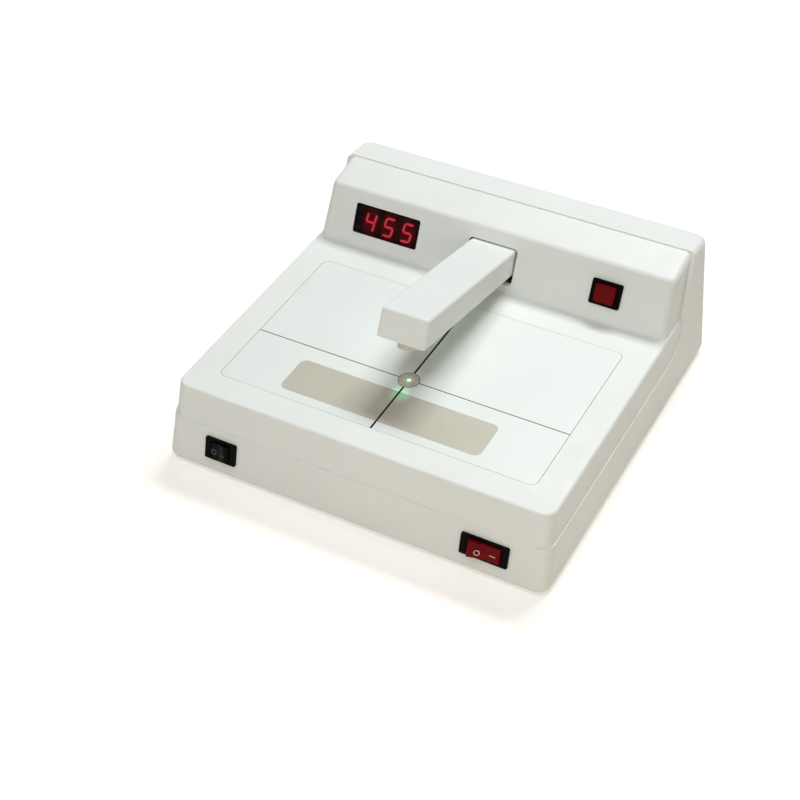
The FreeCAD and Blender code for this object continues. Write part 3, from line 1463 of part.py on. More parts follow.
def make_button():
    """The button's housing, its cap with two barbs, and the spring behind the cap."""
    play = "2 * Sizes.cap_clearance"
    opening = (f"(Sizes.button_cap_width + {play})", f"(Sizes.button_cap_height + {play})")
    chamber_width = f"({opening[0]} + 2 * Sizes.button_barb)"
    body_width = f"({chamber_width} + 2 * Sizes.button_wall)"
    body_height = f"({opening[1]} + 2 * Sizes.button_wall)"
    flange = face_plate(
        BUTTON, "Sizes.button_bezel_width", "Sizes.button_bezel_height", "Sizes.bezel_radius",
        BEZEL_TOP, "Sizes.bezel_proud",
    )
    case = face_box(BUTTON, body_width, body_height, "0", "Sizes.button_depth")
    mouth = face_box(BUTTON, *opening, f"{BEZEL_TOP} - 1", "Sizes.button_lip + 2")
    lip_end = f"({BEZEL_TOP} + Sizes.button_lip)"
    chamber_end = "(Sizes.button_depth - Sizes.button_floor)"
    chamber = face_box(BUTTON, chamber_width, opening[1], lip_end, f"{chamber_end} - {lip_end}")
    keep("button_housing", on_console(cut(fuse(flange, case), mouth, chamber)))
    cap_top = f"({BEZEL_TOP} - Sizes.button_travel - Sizes.button_pressed_proud)"
    barb_start = f"({lip_end} + Sizes.button_rest_gap)"
    cap_end = f"({barb_start} + Sizes.button_barb_thickness)"
    cap = face_plate(
        BUTTON, "Sizes.button_cap_width", "Sizes.button_cap_height", "Sizes.button_cap_radius",
        cap_top, f"{cap_end} - {cap_top}",
    )
    barbs = face_box(
        BUTTON,
        "Sizes.button_cap_width + 2 * Sizes.button_barb",
        "Sizes.button_cap_height - 2 * Sizes.button_barb",
        barb_start,
        "Sizes.button_barb_thickness",
    )
    pocket_y = f"({cap_end} - Sizes.button_spring_pocket)"
    hollow = rod(
        "y", BUTTON[0], pocket_y, BUTTON[1], "Sizes.button_spring_diameter + 1", "Sizes.button_depth"
    )
    keep("button_cap", on_console(cut(fuse(cap, barbs), hollow)))
    keep("button_spring", on_console(coil_spring(pocket_y, chamber_end)))
    hole = face_box(
        BUTTON,
        f"{body_width} + 2 * Sizes.cutout_gap",
        f"{body_height} + 2 * Sizes.cutout_gap",
        "-Sizes.wall",
        "3 * Sizes.wall",
    )
    return on_console(hole)


def coil_spring(start, end):
    """A compression spring along Y between two depths behind the button's cap."""
    body = new_body("Coil")
    wire = "Sizes.button_spring_wire"
    radius = f"((Sizes.button_spring_diameter - {wire}) / 2)"
    sketch = disc(new_sketch(body, "XY_Plane"), radius, f"{wire} / 2", wire)
    helix = body.newObject("PartDesign::AdditiveHelix", "Turns")
    helix.Profile = sketch
    helix.ReferenceAxis = (plane_of(body, "Y_Axis"), [""])
    helix.Mode = "height-turns-growth"
    bind(helix, Height=f"{end} - {start} - {wire}", Turns="Sizes.button_spring_turns")
    wrapper = doc.addObject("Part::Compound", "Spring")
    wrapper.Links = [place(body, BUTTON[0], start, BUTTON[1])]
    return wrapper


# ---- rocker switches (drawn on the lower front face) -------------------------------------


def make_rocker_switch(side, x, width, height, presses_right):
    """A housing in the front wall, a rocker on two pins, and three terminals behind."""
    z = "-Sizes.switch_drop"
    centre = (x, z)
    play = "2 * Sizes.rocker_clearance"
    mouth = (f"({width} - 2 * Sizes.bezel_end)", f"({height} - 2 * Sizes.bezel_side)")
    length, tall = (f"({span} - {play})" for span in mouth)
    case = tuple(f"({span} - 2 * Sizes.bezel_overlap)" for span in (width, height))
    pivot_y = f"({BEZEL_TOP} + Sizes.rocker_seat)"
    sweep = (
        f"(Sizes.rocker_below + {length} / 2 * sin(Sizes.rocker_swing / 2)"
        " + Sizes.rocker_clearance)"
    )
    flange = face_plate(
        centre, width, height, "Sizes.bezel_radius", BEZEL_TOP, "Sizes.bezel_proud"
    )
    block = face_box(centre, *case, "0", "Sizes.switch_depth")
    hollow = face_box(centre, *mouth, f"{BEZEL_TOP} - 1", f"1 + Sizes.rocker_seat + {sweep}")
    pin_reach = f"({tall} / 2 + Sizes.rocker_pin_length)"
    socket_reach = f"({pin_reach} + Sizes.cutout_gap)"
    pin_holes = rod(
        "z", x, pivot_y, f"{z} - {socket_reach}", "Sizes.rocker_pin + 2 * Sizes.running_clearance",
        f"2 * {socket_reach}",
    )
    keep(f"{side}_switch_housing", on_front(cut(fuse(flange, block), hollow, pin_holes)))
    rise = "tan(Sizes.rocker_swing / 2)"
    span = f"({length} / 2 + 1)"
    body = new_body("Rocker")
    crest = "(Sizes.rocker_seat + Sizes.rocker_crown)"
    wedge = [
        (f"-{span}", f"-({crest} + {span} * {rise})"),
        ("0", f"-{crest}"),
        (span, f"-({crest} + {span} * {rise})"),
        (span, "Sizes.rocker_below"),
        (f"-{span}", "Sizes.rocker_below"),
    ]
    pad(body, outline(new_sketch(body, "XY_Plane"), wedge), tall, both=True)
    barrel = rod("z", "0", "0", f"-{tall} / 2", length, tall)
    pins = rod("z", "0", "0", f"-{pin_reach}", "Sizes.rocker_pin", f"2 * {pin_reach}")
    tilted = fuse(common(body, barrel), pins)
    turn = FreeCAD.Rotation(FreeCAD.Vector(0, 0, 1 if presses_right else -1), 1)
    tilted.Placement = FreeCAD.Placement(FreeCAD.Vector(), turn)
    bind(
        tilted,
        Placement__Base__x=x,
        Placement__Base__y=pivot_y,
        Placement__Base__z=z,
        Placement__Rotation__Angle="Sizes.rocker_swing / 2",
    )
    wrapper = doc.addObject("Part::Compound", "Rocker")
    wrapper.Links = [tilted]
    keep(f"{side}_rocker", on_front(wrapper))
    terminals = [
        face_box(
            (f"{x} + {step} * ({case[0]} - 2 * Sizes.terminal_width) / 2", z),
            "Sizes.terminal_thickness",
            "Sizes.terminal_width",
            "Sizes.switch_depth",
            "Sizes.terminal_length",
        )
        for step in (-1, 0, 1)
    ]
    keep(f"{side}_switch_terminals", on_front(fuse(*terminals)))
    cutout = face_box(
        centre,
        f"{case[0]} + 2 * Sizes.cutout_gap",
        f"{case[1]} + 2 * Sizes.cutout_gap",
        "-Sizes.wall",
        "3 * Sizes.wall",
    )
    return on_front(cutout)


# ---- mains inlet in the rear wall --------------------------------------------------------


def make_inlet():
    """A three-pin appliance inlet: flange, deep socket and blades."""
    x, z = "Sizes.inlet_x", INLET_Z
    skin = "2 * Sizes.inlet_skin"
    flange = facing_back(
        x, z, "Sizes.inlet_width", "Sizes.inlet_tall", INLET_FACE_Y, "Sizes.inlet_flange"
    )
    case = facing_back(
        x, z, INLET_BODY_WIDTH, INLET_BODY_TALL, INLET_SEAT_Y,
        "Sizes.inlet_cavity + Sizes.inlet_floor - Sizes.inlet_flange",
    )
    socket = facing_back(
        x,
        z,
        f"{INLET_BODY_WIDTH} - {skin}",
        f"{INLET_BODY_TALL} - {skin}",
        f"{INLET_FACE_Y} + 1",
        "Sizes.inlet_cavity + 1",
    )
    keep("inlet_socket", cut(fuse(flange, case), socket))
    floor_y = f"{INLET_FACE_Y} - Sizes.inlet_cavity"
    tail_y = f"{floor_y} - Sizes.inlet_floor"
    blades = []
    for step, lift in ((-1, -1), (0, 1), (1, -1)):
        blade_x = f"{x} + {step} * Sizes.blade_spread"
        blade_z = f"{z} + {lift} * Sizes.blade_offset"
        spot = (blade_x, blade_z)
        blades.append(
            facing_back(
                *spot, "Sizes.blade_width", "Sizes.blade_tall",
                f"{floor_y} + Sizes.blade_length", "Sizes.blade_length",
            )
        )
        blades.append(
            facing_back(
                *spot, "Sizes.terminal_thickness", "Sizes.terminal_width", tail_y,
                "Sizes.terminal_length",
            )
        )
    keep("inlet_blades", fuse(*blades))


# ---- electronics on the floor ------------------------------------------------------------

BOARD_FRONT_Y = "(Places.shell_front_y + Sizes.board_front_gap)"
BOARD_Z = "(Places.floor_z + Sizes.board_stand)"


def at_standoffs(make):
    """One thing at each corner of the main board."""
    reach = "(Sizes.board_width / 2 - Sizes.standoff_inset)"
    rows = (
        f"{BOARD_FRONT_Y} + Sizes.standoff_inset",
        f"{BOARD_FRONT_Y} + Sizes.board_depth - Sizes.standoff_inset",
    )
    return [make(f"{side} * {reach}", y) for side in ("-1", "1") for y in rows]


def make_electronics():
    """The main board with its screws and larger parts, and the mains transformer."""
    blank = box(
        "-Sizes.board_width / 2", BOARD_FRONT_Y, BOARD_Z, "Sizes.board_width",
        "Sizes.board_depth", "Sizes.board_thickness",
    )
    holes = at_standoffs(lambda x, y: rod("z", x, y, "0", PLAIN_HOLE, "Places.stage_z"))
    keep("main_board", cut(blank, *holes))
    top = f"({BOARD_Z} + Sizes.board_thickness)"
    shanks = at_standoffs(
        lambda x, y: rod(
            "z", x, y, "Places.floor_z", "Sizes.screw_diameter", f"{top} - Places.floor_z"
        )
    )
    heads = at_standoffs(
        lambda x, y: rod("z", x, y, top, "Sizes.head_diameter", "Sizes.head_height")
    )
    keep("board_screws", fuse(*shanks, *heads))
    chip = ("Sizes.board_width / 8", "Sizes.board_depth / 7", "Sizes.board_thickness * 2")
    rows = (1, 3, 5)
    chips = [
        middle_box(
            f"{side} * Sizes.board_width / 5", f"{BOARD_FRONT_Y} + {row} * Sizes.board_depth / 6",
            top, *chip,
        )
        for side in (-1, 1)
        for row in rows
    ]
    keep("board_chips", fuse(*chips))
    x = "Sizes.transformer_x"
    y = "Places.pivot_y"
    core = middle_box(
        x, y, "Places.floor_z", "Sizes.core_width", "Sizes.core_stack", "Sizes.core_height"
    )
    window_width = "(Sizes.core_width / 2 - 2 * Sizes.core_leg)"
    windows = [
        middle_box(
            f"{x} + {side} * (Sizes.core_leg + {window_width} / 2)",
            y,
            "Places.floor_z + Sizes.core_leg",
            window_width,
            "2 * Sizes.core_stack",
            "Sizes.core_height - 2 * Sizes.core_leg",
        )
        for side in (-1, 1)
    ]
    keep("transformer_core", cut(core, *windows))
    coil = middle_box(
        x,
        y,
        "Places.floor_z + Sizes.core_leg",
        f"2 * (Sizes.core_leg + {window_width})",
        "Sizes.coil_depth",
        "Sizes.core_height - 2 * Sizes.core_leg",
    )
    leg = middle_box(
        x, y, "Places.floor_z", "2 * Sizes.core_leg", "Sizes.core_stack", "Sizes.core_height"
    )
    keep("transformer_coil", cut(coil, leg))


# ---- feet and case screws ----------------------------------------------------------------


def make_feet():
    """Four rubber feet under the corners."""
    foot_x = (
        "(Places.deck_half + Sizes.ledge + Sizes.shell_height * tan(Sizes.side_draft)"
        " - Sizes.foot_inset)"
    )
    feet = []
    for side in ("-1", "1"):
        for y in (
            "Places.shell_toe_y + Sizes.foot_inset",
            "Places.shell_heel_y - Sizes.foot_inset",
        ):
            foot = doc.addObject("Part::Cone", "Foot")
            bind(
                foot,
                Radius1="Sizes.foot_diameter / 2 - Sizes.foot_taper",
                Radius2="Sizes.foot_diameter / 2",
                Height="Sizes.foot_stand",
            )
            feet.append(place(foot, f"{side} * {foot_x}", y, "0"))
    keep("rubber_feet", fuse(*feet))


def make_case_screws():
    """Four long screws that come up through the lower posts into the cover's posts."""
    heads = at_posts(
        lambda x, y: rod(
            "z", x, y, f"{HEAD_SEAT_Z} - Sizes.head_height", "Sizes.head_diameter",
            "Sizes.head_height",
        )
    )
    shanks = at_posts(
        lambda x, y: rod(
            "z", x, y, HEAD_SEAT_Z, "Sizes.screw_diameter", "Sizes.screw_grip + Sizes.screw_bite"
        )
    )
    keep("case_screws", fuse(*heads, *shanks))


# ---- assembly ---------------------------------------------------------------------------


def make_densitometer():
    """Builds every sub-part; holes in the mouldings come from the pieces that fill them."""
    console_holes = [make_display(), make_button()]
    switch_holes = [
        make_rocker_switch(
            "left",
            "Sizes.left_switch_x",
            "Sizes.left_switch_width",
            "Sizes.left_switch_height",
            presses_right=False,
        ),
        make_rocker_switch(
            "power",
            "Sizes.power_switch_x",
            "Sizes.power_switch_width",
            "Sizes.power_switch_height",
            presses_right=True,
        ),
    ]
    bracket_holes = make_bracket()
    make_lower_shell(switch_holes, bracket_holes)
    make_upper_cover(console_holes)
    make_stage()
    make_light_source()
    make_arm_housing()
    make_arm_cover()
    make_sensor()
    make_bushes()
    make_shaft()
    make_arm_spring()
    make_inlet()
    make_electronics()
    make_feet()
    make_case_screws()


def check_and_write():
    """Stops on any failed object or bad shape, then writes one STEP file to a sub-part."""
    doc.recompute()
    failed = [item.Label for item in doc.Objects if {"Invalid", "Error"} & set(item.State)]
    if failed:
        raise RuntimeError(f"failed: {failed}")
    for node in NODES:
        if node.Shape.isNull() or not node.Shape.isValid():
            raise RuntimeError(f"bad shape: {node.Label}")
    os.makedirs("parts", exist_ok=True)
    for node in NODES:
        node.Shape.exportStep(f"parts/{node.Label}.step")
        print(f"{node.Label}: {node.Shape.Volume:.0f} mm3, {len(node.Shape.Solids)} solids")


make_densitometer()
check_and_write()
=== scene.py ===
"""A photographic densitometer: finishes, lit display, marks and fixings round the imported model."""

import logging
import math
from collections.abc import Callable
from dataclasses import dataclass
from enum import Enum

import bmesh
import bpy
from mathutils import Matrix, Vector


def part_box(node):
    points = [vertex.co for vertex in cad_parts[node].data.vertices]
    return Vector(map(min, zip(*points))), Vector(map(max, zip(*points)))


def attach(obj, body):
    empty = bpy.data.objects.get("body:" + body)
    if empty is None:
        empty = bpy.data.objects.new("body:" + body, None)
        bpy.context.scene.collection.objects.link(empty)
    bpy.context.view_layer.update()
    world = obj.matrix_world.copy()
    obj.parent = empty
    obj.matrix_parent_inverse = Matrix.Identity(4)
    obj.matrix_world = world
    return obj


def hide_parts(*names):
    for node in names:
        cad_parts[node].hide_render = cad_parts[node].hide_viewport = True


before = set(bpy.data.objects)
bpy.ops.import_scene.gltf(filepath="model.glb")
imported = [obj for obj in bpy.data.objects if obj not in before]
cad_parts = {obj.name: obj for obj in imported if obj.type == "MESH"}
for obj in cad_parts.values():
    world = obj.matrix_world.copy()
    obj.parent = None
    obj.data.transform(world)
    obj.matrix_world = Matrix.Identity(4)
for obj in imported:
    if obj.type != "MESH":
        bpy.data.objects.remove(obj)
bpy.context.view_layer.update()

log = logging.getLogger("densitometer")

Colour = tuple[float, float, float, float]
Triple = tuple[float, float, float]
Pair = tuple[float, float]
Socket = bpy.types.NodeSocket
Value = Socket | float | Triple | Colour
Node = bpy.types.Node
Piece = bpy.types.Object

MM = 0.001
WHITE: Colour = (1.0, 1.0, 1.0, 1.0)
X = Vector((1, 0, 0))
Y = Vector((0, 1, 0))
Z = Vector((0, 0, 1))

# Most of a noise pattern's values lie between these two.
NOISE = (0.3, 0.7)


def tone(red: float, green: float, blue: float) -> Colour:
    """Turns a display colour, 0 to 255, into the linear colour that a shader takes."""
    shares = (value / 255 for value in (red, green, blue))
    return (*(s / 12.92 if s <= 0.04045 else ((s + 0.055) / 1.055) ** 2.4 for s in shares), 1.0)


def shade(colour: Colour, by: float) -> Colour:
    """Makes a colour lighter or darker by a factor on its channels."""
    return (colour[0] * by, colour[1] * by, colour[2] * by, colour[3])


# ---- node graphs ----


class Graph:
    """A node tree, built by short calls."""

    def __init__(self, tree: bpy.types.NodeTree) -> None:
        """Empties the tree.

        Args:
            tree: The tree of a material or a world.
        """
        self.nodes = tree.nodes
        self.links = tree.links
        self.nodes.clear()

    def put(self, node: Node, inputs: dict[str | int, Value]) -> None:
        """Links or sets inputs of a node.

        Args:
            node: The node.
            inputs: The source of each, or its value if it is the same all over.
        """
        for name, value in inputs.items():
            if isinstance(value, Socket):
                self.links.new(value, node.inputs[name])
            else:
                node.inputs[name].default_value = value

    def add(self, kind: str, inputs: dict[str | int, Value], **settings: str | float) -> Node:
        """Adds a node.

        Args:
            kind: Its type, without the leading ShaderNode.
            inputs: The source or the value of each input that isn't left alone.
            settings: Its own settings.

        Returns:
            The node.
        """
        node = self.nodes.new(f"ShaderNode{kind}")
        for name, setting in settings.items():
            setattr(node, name, setting)
        self.put(node, inputs)
        return node

    def spread(self, pattern: Socket, low: float, high: float, ends: Pair = NOISE) -> Socket:
        """Turns a pattern into a number, low and high at the two values named in ends."""
        inputs = {"From Min": ends[0], "From Max": ends[1], "To Min": low, "To Max": high}
        return self.add("MapRange", {"Value": pattern, **inputs}).outputs["Result"]


class ShaderGraph(Graph):
    """The nodes of one material round a Principled shader."""

    def __init__(self, name: str) -> None:
        """Starts the material with its shader and output.

        Args:
            name: The material's name.
        """
        self.material = bpy.data.materials.new(name)
        self.material.use_nodes = True
        super().__init__(self.material.node_tree)
        self.shader = self.add("BsdfPrincipled", {})
        self.add("OutputMaterial", {"Surface": self.shader.outputs["BSDF"]})
        self.place = self.add("TexCoord", {}).outputs["Object"]

    def surface(self, inputs: dict[str, Value]) -> None:
        """Links or sets inputs of the shader."""
        self.put(self.shader, inputs)

    def mapped(self, stretch: Triple, turn: float = 0, centre: Triple = (0, 0, 0)) -> Socket:
        """Moves, turns and stretches the object's coordinates.

        Args:
            stretch: The factor on each axis.
            turn: The turn about Z, in degrees.
            centre: The point that becomes the pattern's middle, in metres.

        Returns:
            The changed coordinates.
        """
        moved = self.add("VectorMath", {0: self.place, 1: centre}, operation="SUBTRACT")
        turned = {"Rotation": (0, 0, math.radians(turn)), "Scale": stretch}
        return self.add("Mapping", {"Vector": moved.outputs[0], **turned}).outputs["Vector"]

    def noise(self, size: float, detail: float = 2.0, place: Socket | None = None) -> Socket:
        """Adds a soft random pattern, from 0 to 1, whose patches are size metres wide."""
        inputs = {"Vector": place or self.place, "Scale": 1 / size, "Detail": detail}
        return self.add("TexNoise", inputs).outputs["Fac"]

    def cells(self, size: float) -> Socket:
        """Adds small cells, size metres wide: 0 in the middle of each and 1 far from it."""
        return self.add("TexVoronoi", {"Vector": self.place, "Scale": 1 / size}).outputs["Distance"]

    def waves(self, size: float, axis: str, wobble: float) -> Socket:
        """Adds bands across X, Y or Z, from 0 to 1 and size metres apart."""
        inputs = {"Vector": self.place, "Scale": math.pi / 10 / size, "Distortion": wobble}
        return self.add("TexWave", inputs, bands_direction=axis).outputs["Fac"]

    def ramp(self, pattern: Socket, low: Colour, high: Colour, ends: Pair = NOISE) -> Socket:
        """Turns a pattern into a colour.

        Args:
            pattern: The pattern, from 0 to 1.
            low: The colour up to the first of the ends.
            high: The colour from the second of them.
            ends: The pattern's values between which the colour changes.

        Returns:
            The colour.
        """
        node = self.add("ValToRGB", {"Fac": pattern})
        for element, where, colour in zip(node.color_ramp.elements, ends, (low, high)):
            element.position = where
            element.color = colour
        return node.outputs["Color"]

    def distance(self, centre: Triple, flatten: Triple = (1, 1, 1)) -> Socket:
        """Measures the distance from a centre, in metres, with a factor on each axis."""
        away = self.mapped(flatten, centre=centre)
        return self.add("VectorMath", {0: away}, operation="LENGTH").outputs["Value"]

    def bump(self, pattern: Socket, depth: float, over: Socket | None = None) -> Socket:
        """Turns a pattern into relief of this depth in metres, over a coarser one if given."""
        under = {} if over is None else {"Normal": over}
        return self.add("Bump", {"Height": pattern, "Distance": depth, **under}).outputs["Normal"]


# ---- finishes ----

made: dict[str, bpy.types.Material] = {}


@dataclass(frozen=True)
class Finish:
    """A surface finish, made into a material when it is first asked for.

    Attributes:
        name: The material's name.
        colour: Its colour.
        roughness: Its roughness, in the mean or where nothing has rubbed.
        shine: How strongly it mirrors, 0.5 being plain plastic.
        index: Its index of refraction.
    """

    name: str
    colour: Colour
    roughness: float = 0.45
    shine: float = 0.5
    index: float = 1.5

    def material(self) -> bpy.types.Material:
        """Makes the material if there is none yet.

        Returns:
            The finish's material.
        """
        if self.name not in made:
            graph = ShaderGraph(self.name)
            graph.surface({"Specular IOR Level": self.shine, "IOR": self.index})
            self.draw(graph)
            made[self.name] = graph.material
        return made[self.name]

    def draw(self, graph: ShaderGraph) -> None:
        """Adds the finish's nodes to a graph that has only its shader."""
        raise NotImplementedError


@dataclass(frozen=True)
class MouldedPlastic(Finish):
    """Moulded plastic with the fine texture of an etched mould.

    Attributes:
        grain: The width of the texture's grains, in metres.
        relief: The texture's height, in metres.
        mottle: How much darker the duller patches are.
    """

    grain: float = 0.0006
    relief: float = 0.000012
    mottle: float = 0.03

    def draw(self, graph: ShaderGraph) -> None:
        """Adds faint clouds of tone, uneven gloss, flow marks and the etched grain.

        Args:
            graph: The material's nodes.
        """
        dull = shade(self.colour, 1 - self.mottle)
        gloss = graph.noise(0.009, 4.0)
        flow = graph.bump(graph.noise(0.03, 1.0), self.relief)
        graph.surface({
            "Base Color": graph.ramp(graph.noise(0.045, 3.0), dull, self.colour, (0.32, 0.68)),
            "Roughness": graph.spread(gloss, self.roughness - 0.06, self.roughness + 0.06),
            "Normal": graph.bump(graph.noise(self.grain, 3.0), self.relief, flow),
        })


@dataclass(frozen=True)
class GlossyPlastic(Finish):
    """Polished plastic with a slight ripple and fine scuffs.

    Attributes:
        depth: How much darker the colour is in its deeper patches.
        clear: How much light passes into it, as in a tinted lens.
    """

    roughness: float = 0.14
    shine: float = 0.06
    index: float = 1.49
    depth: float = 0.25
    clear: float = 0.0

    def draw(self, graph: ShaderGraph) -> None:
        """Adds deeper and lighter patches of the colour, scuffs and a moulded ripple.

        Args:
            graph: The material's nodes.
        """
        deep = shade(self.colour, 1 - self.depth)
        scuffs = graph.noise(0.0015, 5.0, graph.mapped((1, 1, 7), 20))
        graph.surface({
            "Base Color": graph.ramp(graph.noise(0.006), deep, self.colour),
            "Roughness": graph.spread(scuffs, self.roughness, self.roughness + 0.16, (0.5, 0.8)),
            "Normal": graph.bump(graph.noise(0.004, 1.0), 0.00003),
            "Subsurface Weight": self.clear,
            "Subsurface Radius": (0.002, 0.0004, 0.0004),
            "Coat Weight": self.shine * 0.5,
            "Coat Roughness": 0.06,
        })


@dataclass(frozen=True)
class BrushedMetal(Finish):
    """Metal rubbed in one direction.

    Attributes:
        along: How long the rubbing marks are on each axis, in metres.
        relief: The marks' height, in metres.
        tarnish: How much darker the duller patches are.
        bare: How much of the surface is bare metal, the rest being a matt oxide coat.
    """

    roughness: float = 0.3
    along: Triple = (0.03, 0.0003, 0.0003)
    relief: float = 0.000004
    tarnish: float = 0.06
    bare: float = 1.0

    def draw(self, graph: ShaderGraph) -> None:
        """Adds stretched rubbing marks to the gloss, the tone and the relief.

        Args:
            graph: The material's nodes.
        """
        marks = graph.noise(1.0, 2.0, graph.mapped(tuple(1 / size for size in self.along)))
        dull = shade(self.colour, 1 - self.tarnish)
        graph.surface({
            "Base Color": graph.ramp(graph.noise(0.02, 3.0), dull, self.colour),
            "Roughness": graph.spread(marks, self.roughness - 0.05, self.roughness + 0.05),
            "Normal": graph.bump(marks, self.relief),
            "Metallic": self.bare,
        })


@dataclass(frozen=True)
class PlatedMetal(Finish):
    """Plated or drawn metal with a fine crystal mottle.

    Attributes:
        crystal: The width of one patch of plating, in metres.
    """

    roughness: float = 0.3
    crystal: float = 0.0012

    def draw(self, graph: ShaderGraph) -> None:
        """Adds patches of plating to the tone and the gloss.

        Args:
            graph: The material's nodes.
        """
        patches = graph.cells(self.crystal)
        blur = graph.noise(self.crystal * 3, 4.0)
        graph.surface({
            "Base Color": graph.ramp(patches, shade(self.colour, 0.86), self.colour, (0.1, 0.6)),
            "Roughness": graph.spread(blur, self.roughness - 0.08, self.roughness + 0.1),
            "Normal": graph.bump(graph.noise(self.crystal / 2), 0.000003),
            "Metallic": 1.0,
        })


@dataclass(frozen=True)
class ClearPane(Finish):
    """Glass or tinted clear plastic."""

    roughness: float = 0.03

    def draw(self, graph: ShaderGraph) -> None:
        """Adds smears to a clear body.

        Args:
            graph: The material's nodes.
        """
        smears = graph.noise(0.012, 4.0, graph.mapped((1, 1, 2.5), 30))
        graph.surface({
            "Base Color": graph.ramp(smears, self.colour, shade(self.colour, 0.9), (0.3, 0.8)),
            "Roughness": graph.spread(smears, self.roughness, self.roughness + 0.06, (0.5, 0.8)),
            "Transmission Weight": 1.0,
        })


@dataclass(frozen=True)
class LitFrost(Finish):
    """Frosted plastic, lit from below through a small hole.

    Attributes:
        glow: The colour of the light in it.
        centre: The hole's middle, in metres.
        rim: The radius beyond which its edge is darker, in metres.
        reach: How far the light spreads in it, in metres.
        strength: How strong the light is beside the hole.
    """

    shine: float = 0.2
    index: float = 1.49
    glow: Colour = tone(60, 235, 150)
    centre: Triple = (0, 0, 0)
    rim: float = 0.0059
    reach: float = 0.0046
    strength: float = 0.4

    def draw(self, graph: ShaderGraph) -> None:
        """Adds the frosting, and the light that fades out from the hole.

        Args:
            graph: The material's nodes.
        """
        far = graph.distance(self.centre)
        frosting = graph.noise(0.0006, 4.0)
        speckle = graph.ramp(frosting, shade(self.colour, 0.76), self.colour, (0.3, 0.65))
        beyond = graph.spread(far, 0.0, 1.0, (self.rim, self.rim + 0.0002))
        edge = graph.ramp(beyond, WHITE, tone(196, 190, 178), (0.0, 1.0))
        mixed = {"Fac": 1.0, "Color1": speckle, "Color2": edge}
        fade = graph.spread(far, 1.0, 0.0, (0.001, self.reach))
        light = graph.add("Math", {0: fade, 1: 2.2}, operation="POWER").outputs["Value"]
        graph.surface({
            "Base Color": graph.add("MixRGB", mixed, blend_type="MULTIPLY").outputs["Color"],
            "Roughness": graph.spread(graph.noise(0.002, 3.0), 0.3, 0.42),
            "Normal": graph.bump(frosting, 0.00001),
            "Emission Strength": graph.spread(light, 0.0, self.strength, (0.0, 1.0)),
            "Emission Color": self.glow,
            "Transmission Weight": 0.12,
        })


@dataclass(frozen=True)
class GlowingBody(Finish):
    """Dark plastic that catches the light of the bars in its face.

    Attributes:
        glow: The colour of that light.
        centre: The digit's middle, in metres.
        reach: How far the light spreads across it, in metres.
        strength: How strong it is in the middle.
    """

    shine: float = 0.15
    glow: Colour = tone(255, 12, 16)
    centre: Triple = (0, 0, 0)
    reach: float = 0.0085
    strength: float = 0.09

    def draw(self, graph: ShaderGraph) -> None:
        """Adds a grainy dark skin and the light that fades out from the digit.

        Args:
            graph: The material's nodes.
        """
        grain = graph.noise(0.0008, 3.0)
        near = graph.distance(self.centre, (1.25, 0.8, 0.8))
        graph.surface({
            "Base Color": graph.ramp(grain, shade(self.colour, 0.7), self.colour),
            "Roughness": graph.spread(grain, 0.42, 0.56),
            "Emission Strength": graph.spread(near, self.strength, 0.0, (0.0035, self.reach)),
            "Emission Color": self.glow,
        })


@dataclass(frozen=True)
class LitElement(Finish):
    """A part of a lamp that shines by itself, brighter in some patches than in others.

    Attributes:
        glow: The colour of its light.
        strength: How strong the light is.
        patch: The size of its brighter patches, in metres.
    """

    roughness: float = 0.35
    glow: Colour = WHITE
    strength: float = 1.0
    patch: float = 0.0015

    def draw(self, graph: ShaderGraph) -> None:
        """Adds the uneven light over a plain moulded skin.

        Args:
            graph: The material's nodes.
        """
        patches = graph.noise(self.patch, 1.0)
        low, high = self.strength * 0.85, self.strength * 1.1
        graph.surface({
            "Base Color": graph.ramp(patches, shade(self.colour, 0.8), self.colour),
            "Roughness": self.roughness,
            "Emission Strength": graph.spread(patches, low, high),
            "Emission Color": self.glow,
        })


@dataclass(frozen=True)
class PrintedInk(Finish):
    """Ink or enamel, thinner in small patches."""

    shine: float = 0.15

    def draw(self, graph: ShaderGraph) -> None:
        """Adds the thin patches and a slight relief.

        Args:
            graph: The material's nodes.
        """
        patches = graph.noise(0.0008, 4.0)
        graph.surface({
            "Base Color": graph.ramp(patches, self.colour, shade(self.colour, 1.25), (0.35, 0.75)),
            "Roughness": graph.spread(patches, 0.5, 0.65),
            "Normal": graph.bump(patches, 0.000006),
        })


@dataclass(frozen=True)
class CircuitLaminate(Finish):
    """Glass-fibre board under green lacquer, with copper runs showing through.

    Attributes:
        copper: The colour of a run under the lacquer.
        pitch: The distance from one run to the next, in metres.
    """

    copper: Colour = tone(74, 140, 84)
    pitch: float = 0.0025

    def draw(self, graph: ShaderGraph) -> None:
        """Adds runs on a grid and the weave of the fibre.

        Args:
            graph: The material's nodes.
        """
        grid = {
            "Vector": graph.place,
            "Color1": self.colour,
            "Color2": shade(self.colour, 0.85),
            "Mortar": self.copper,
            "Scale": 1.0,
            "Mortar Size": self.pitch * 0.16,
            "Brick Width": self.pitch * 5,
            "Row Height": self.pitch,
        }
        runs = graph.add("TexBrick", grid, offset=0.37).outputs
        weave = graph.noise(0.0005, 2.0, graph.mapped((1, 4, 1)))
        graph.surface({
            "Base Color": runs["Color"],
            "Roughness": graph.spread(weave, 0.25, 0.4),
            "Normal": graph.bump(runs["Fac"], 0.00003, graph.bump(weave, 0.000008)),
            "Coat Weight": 0.4,
        })


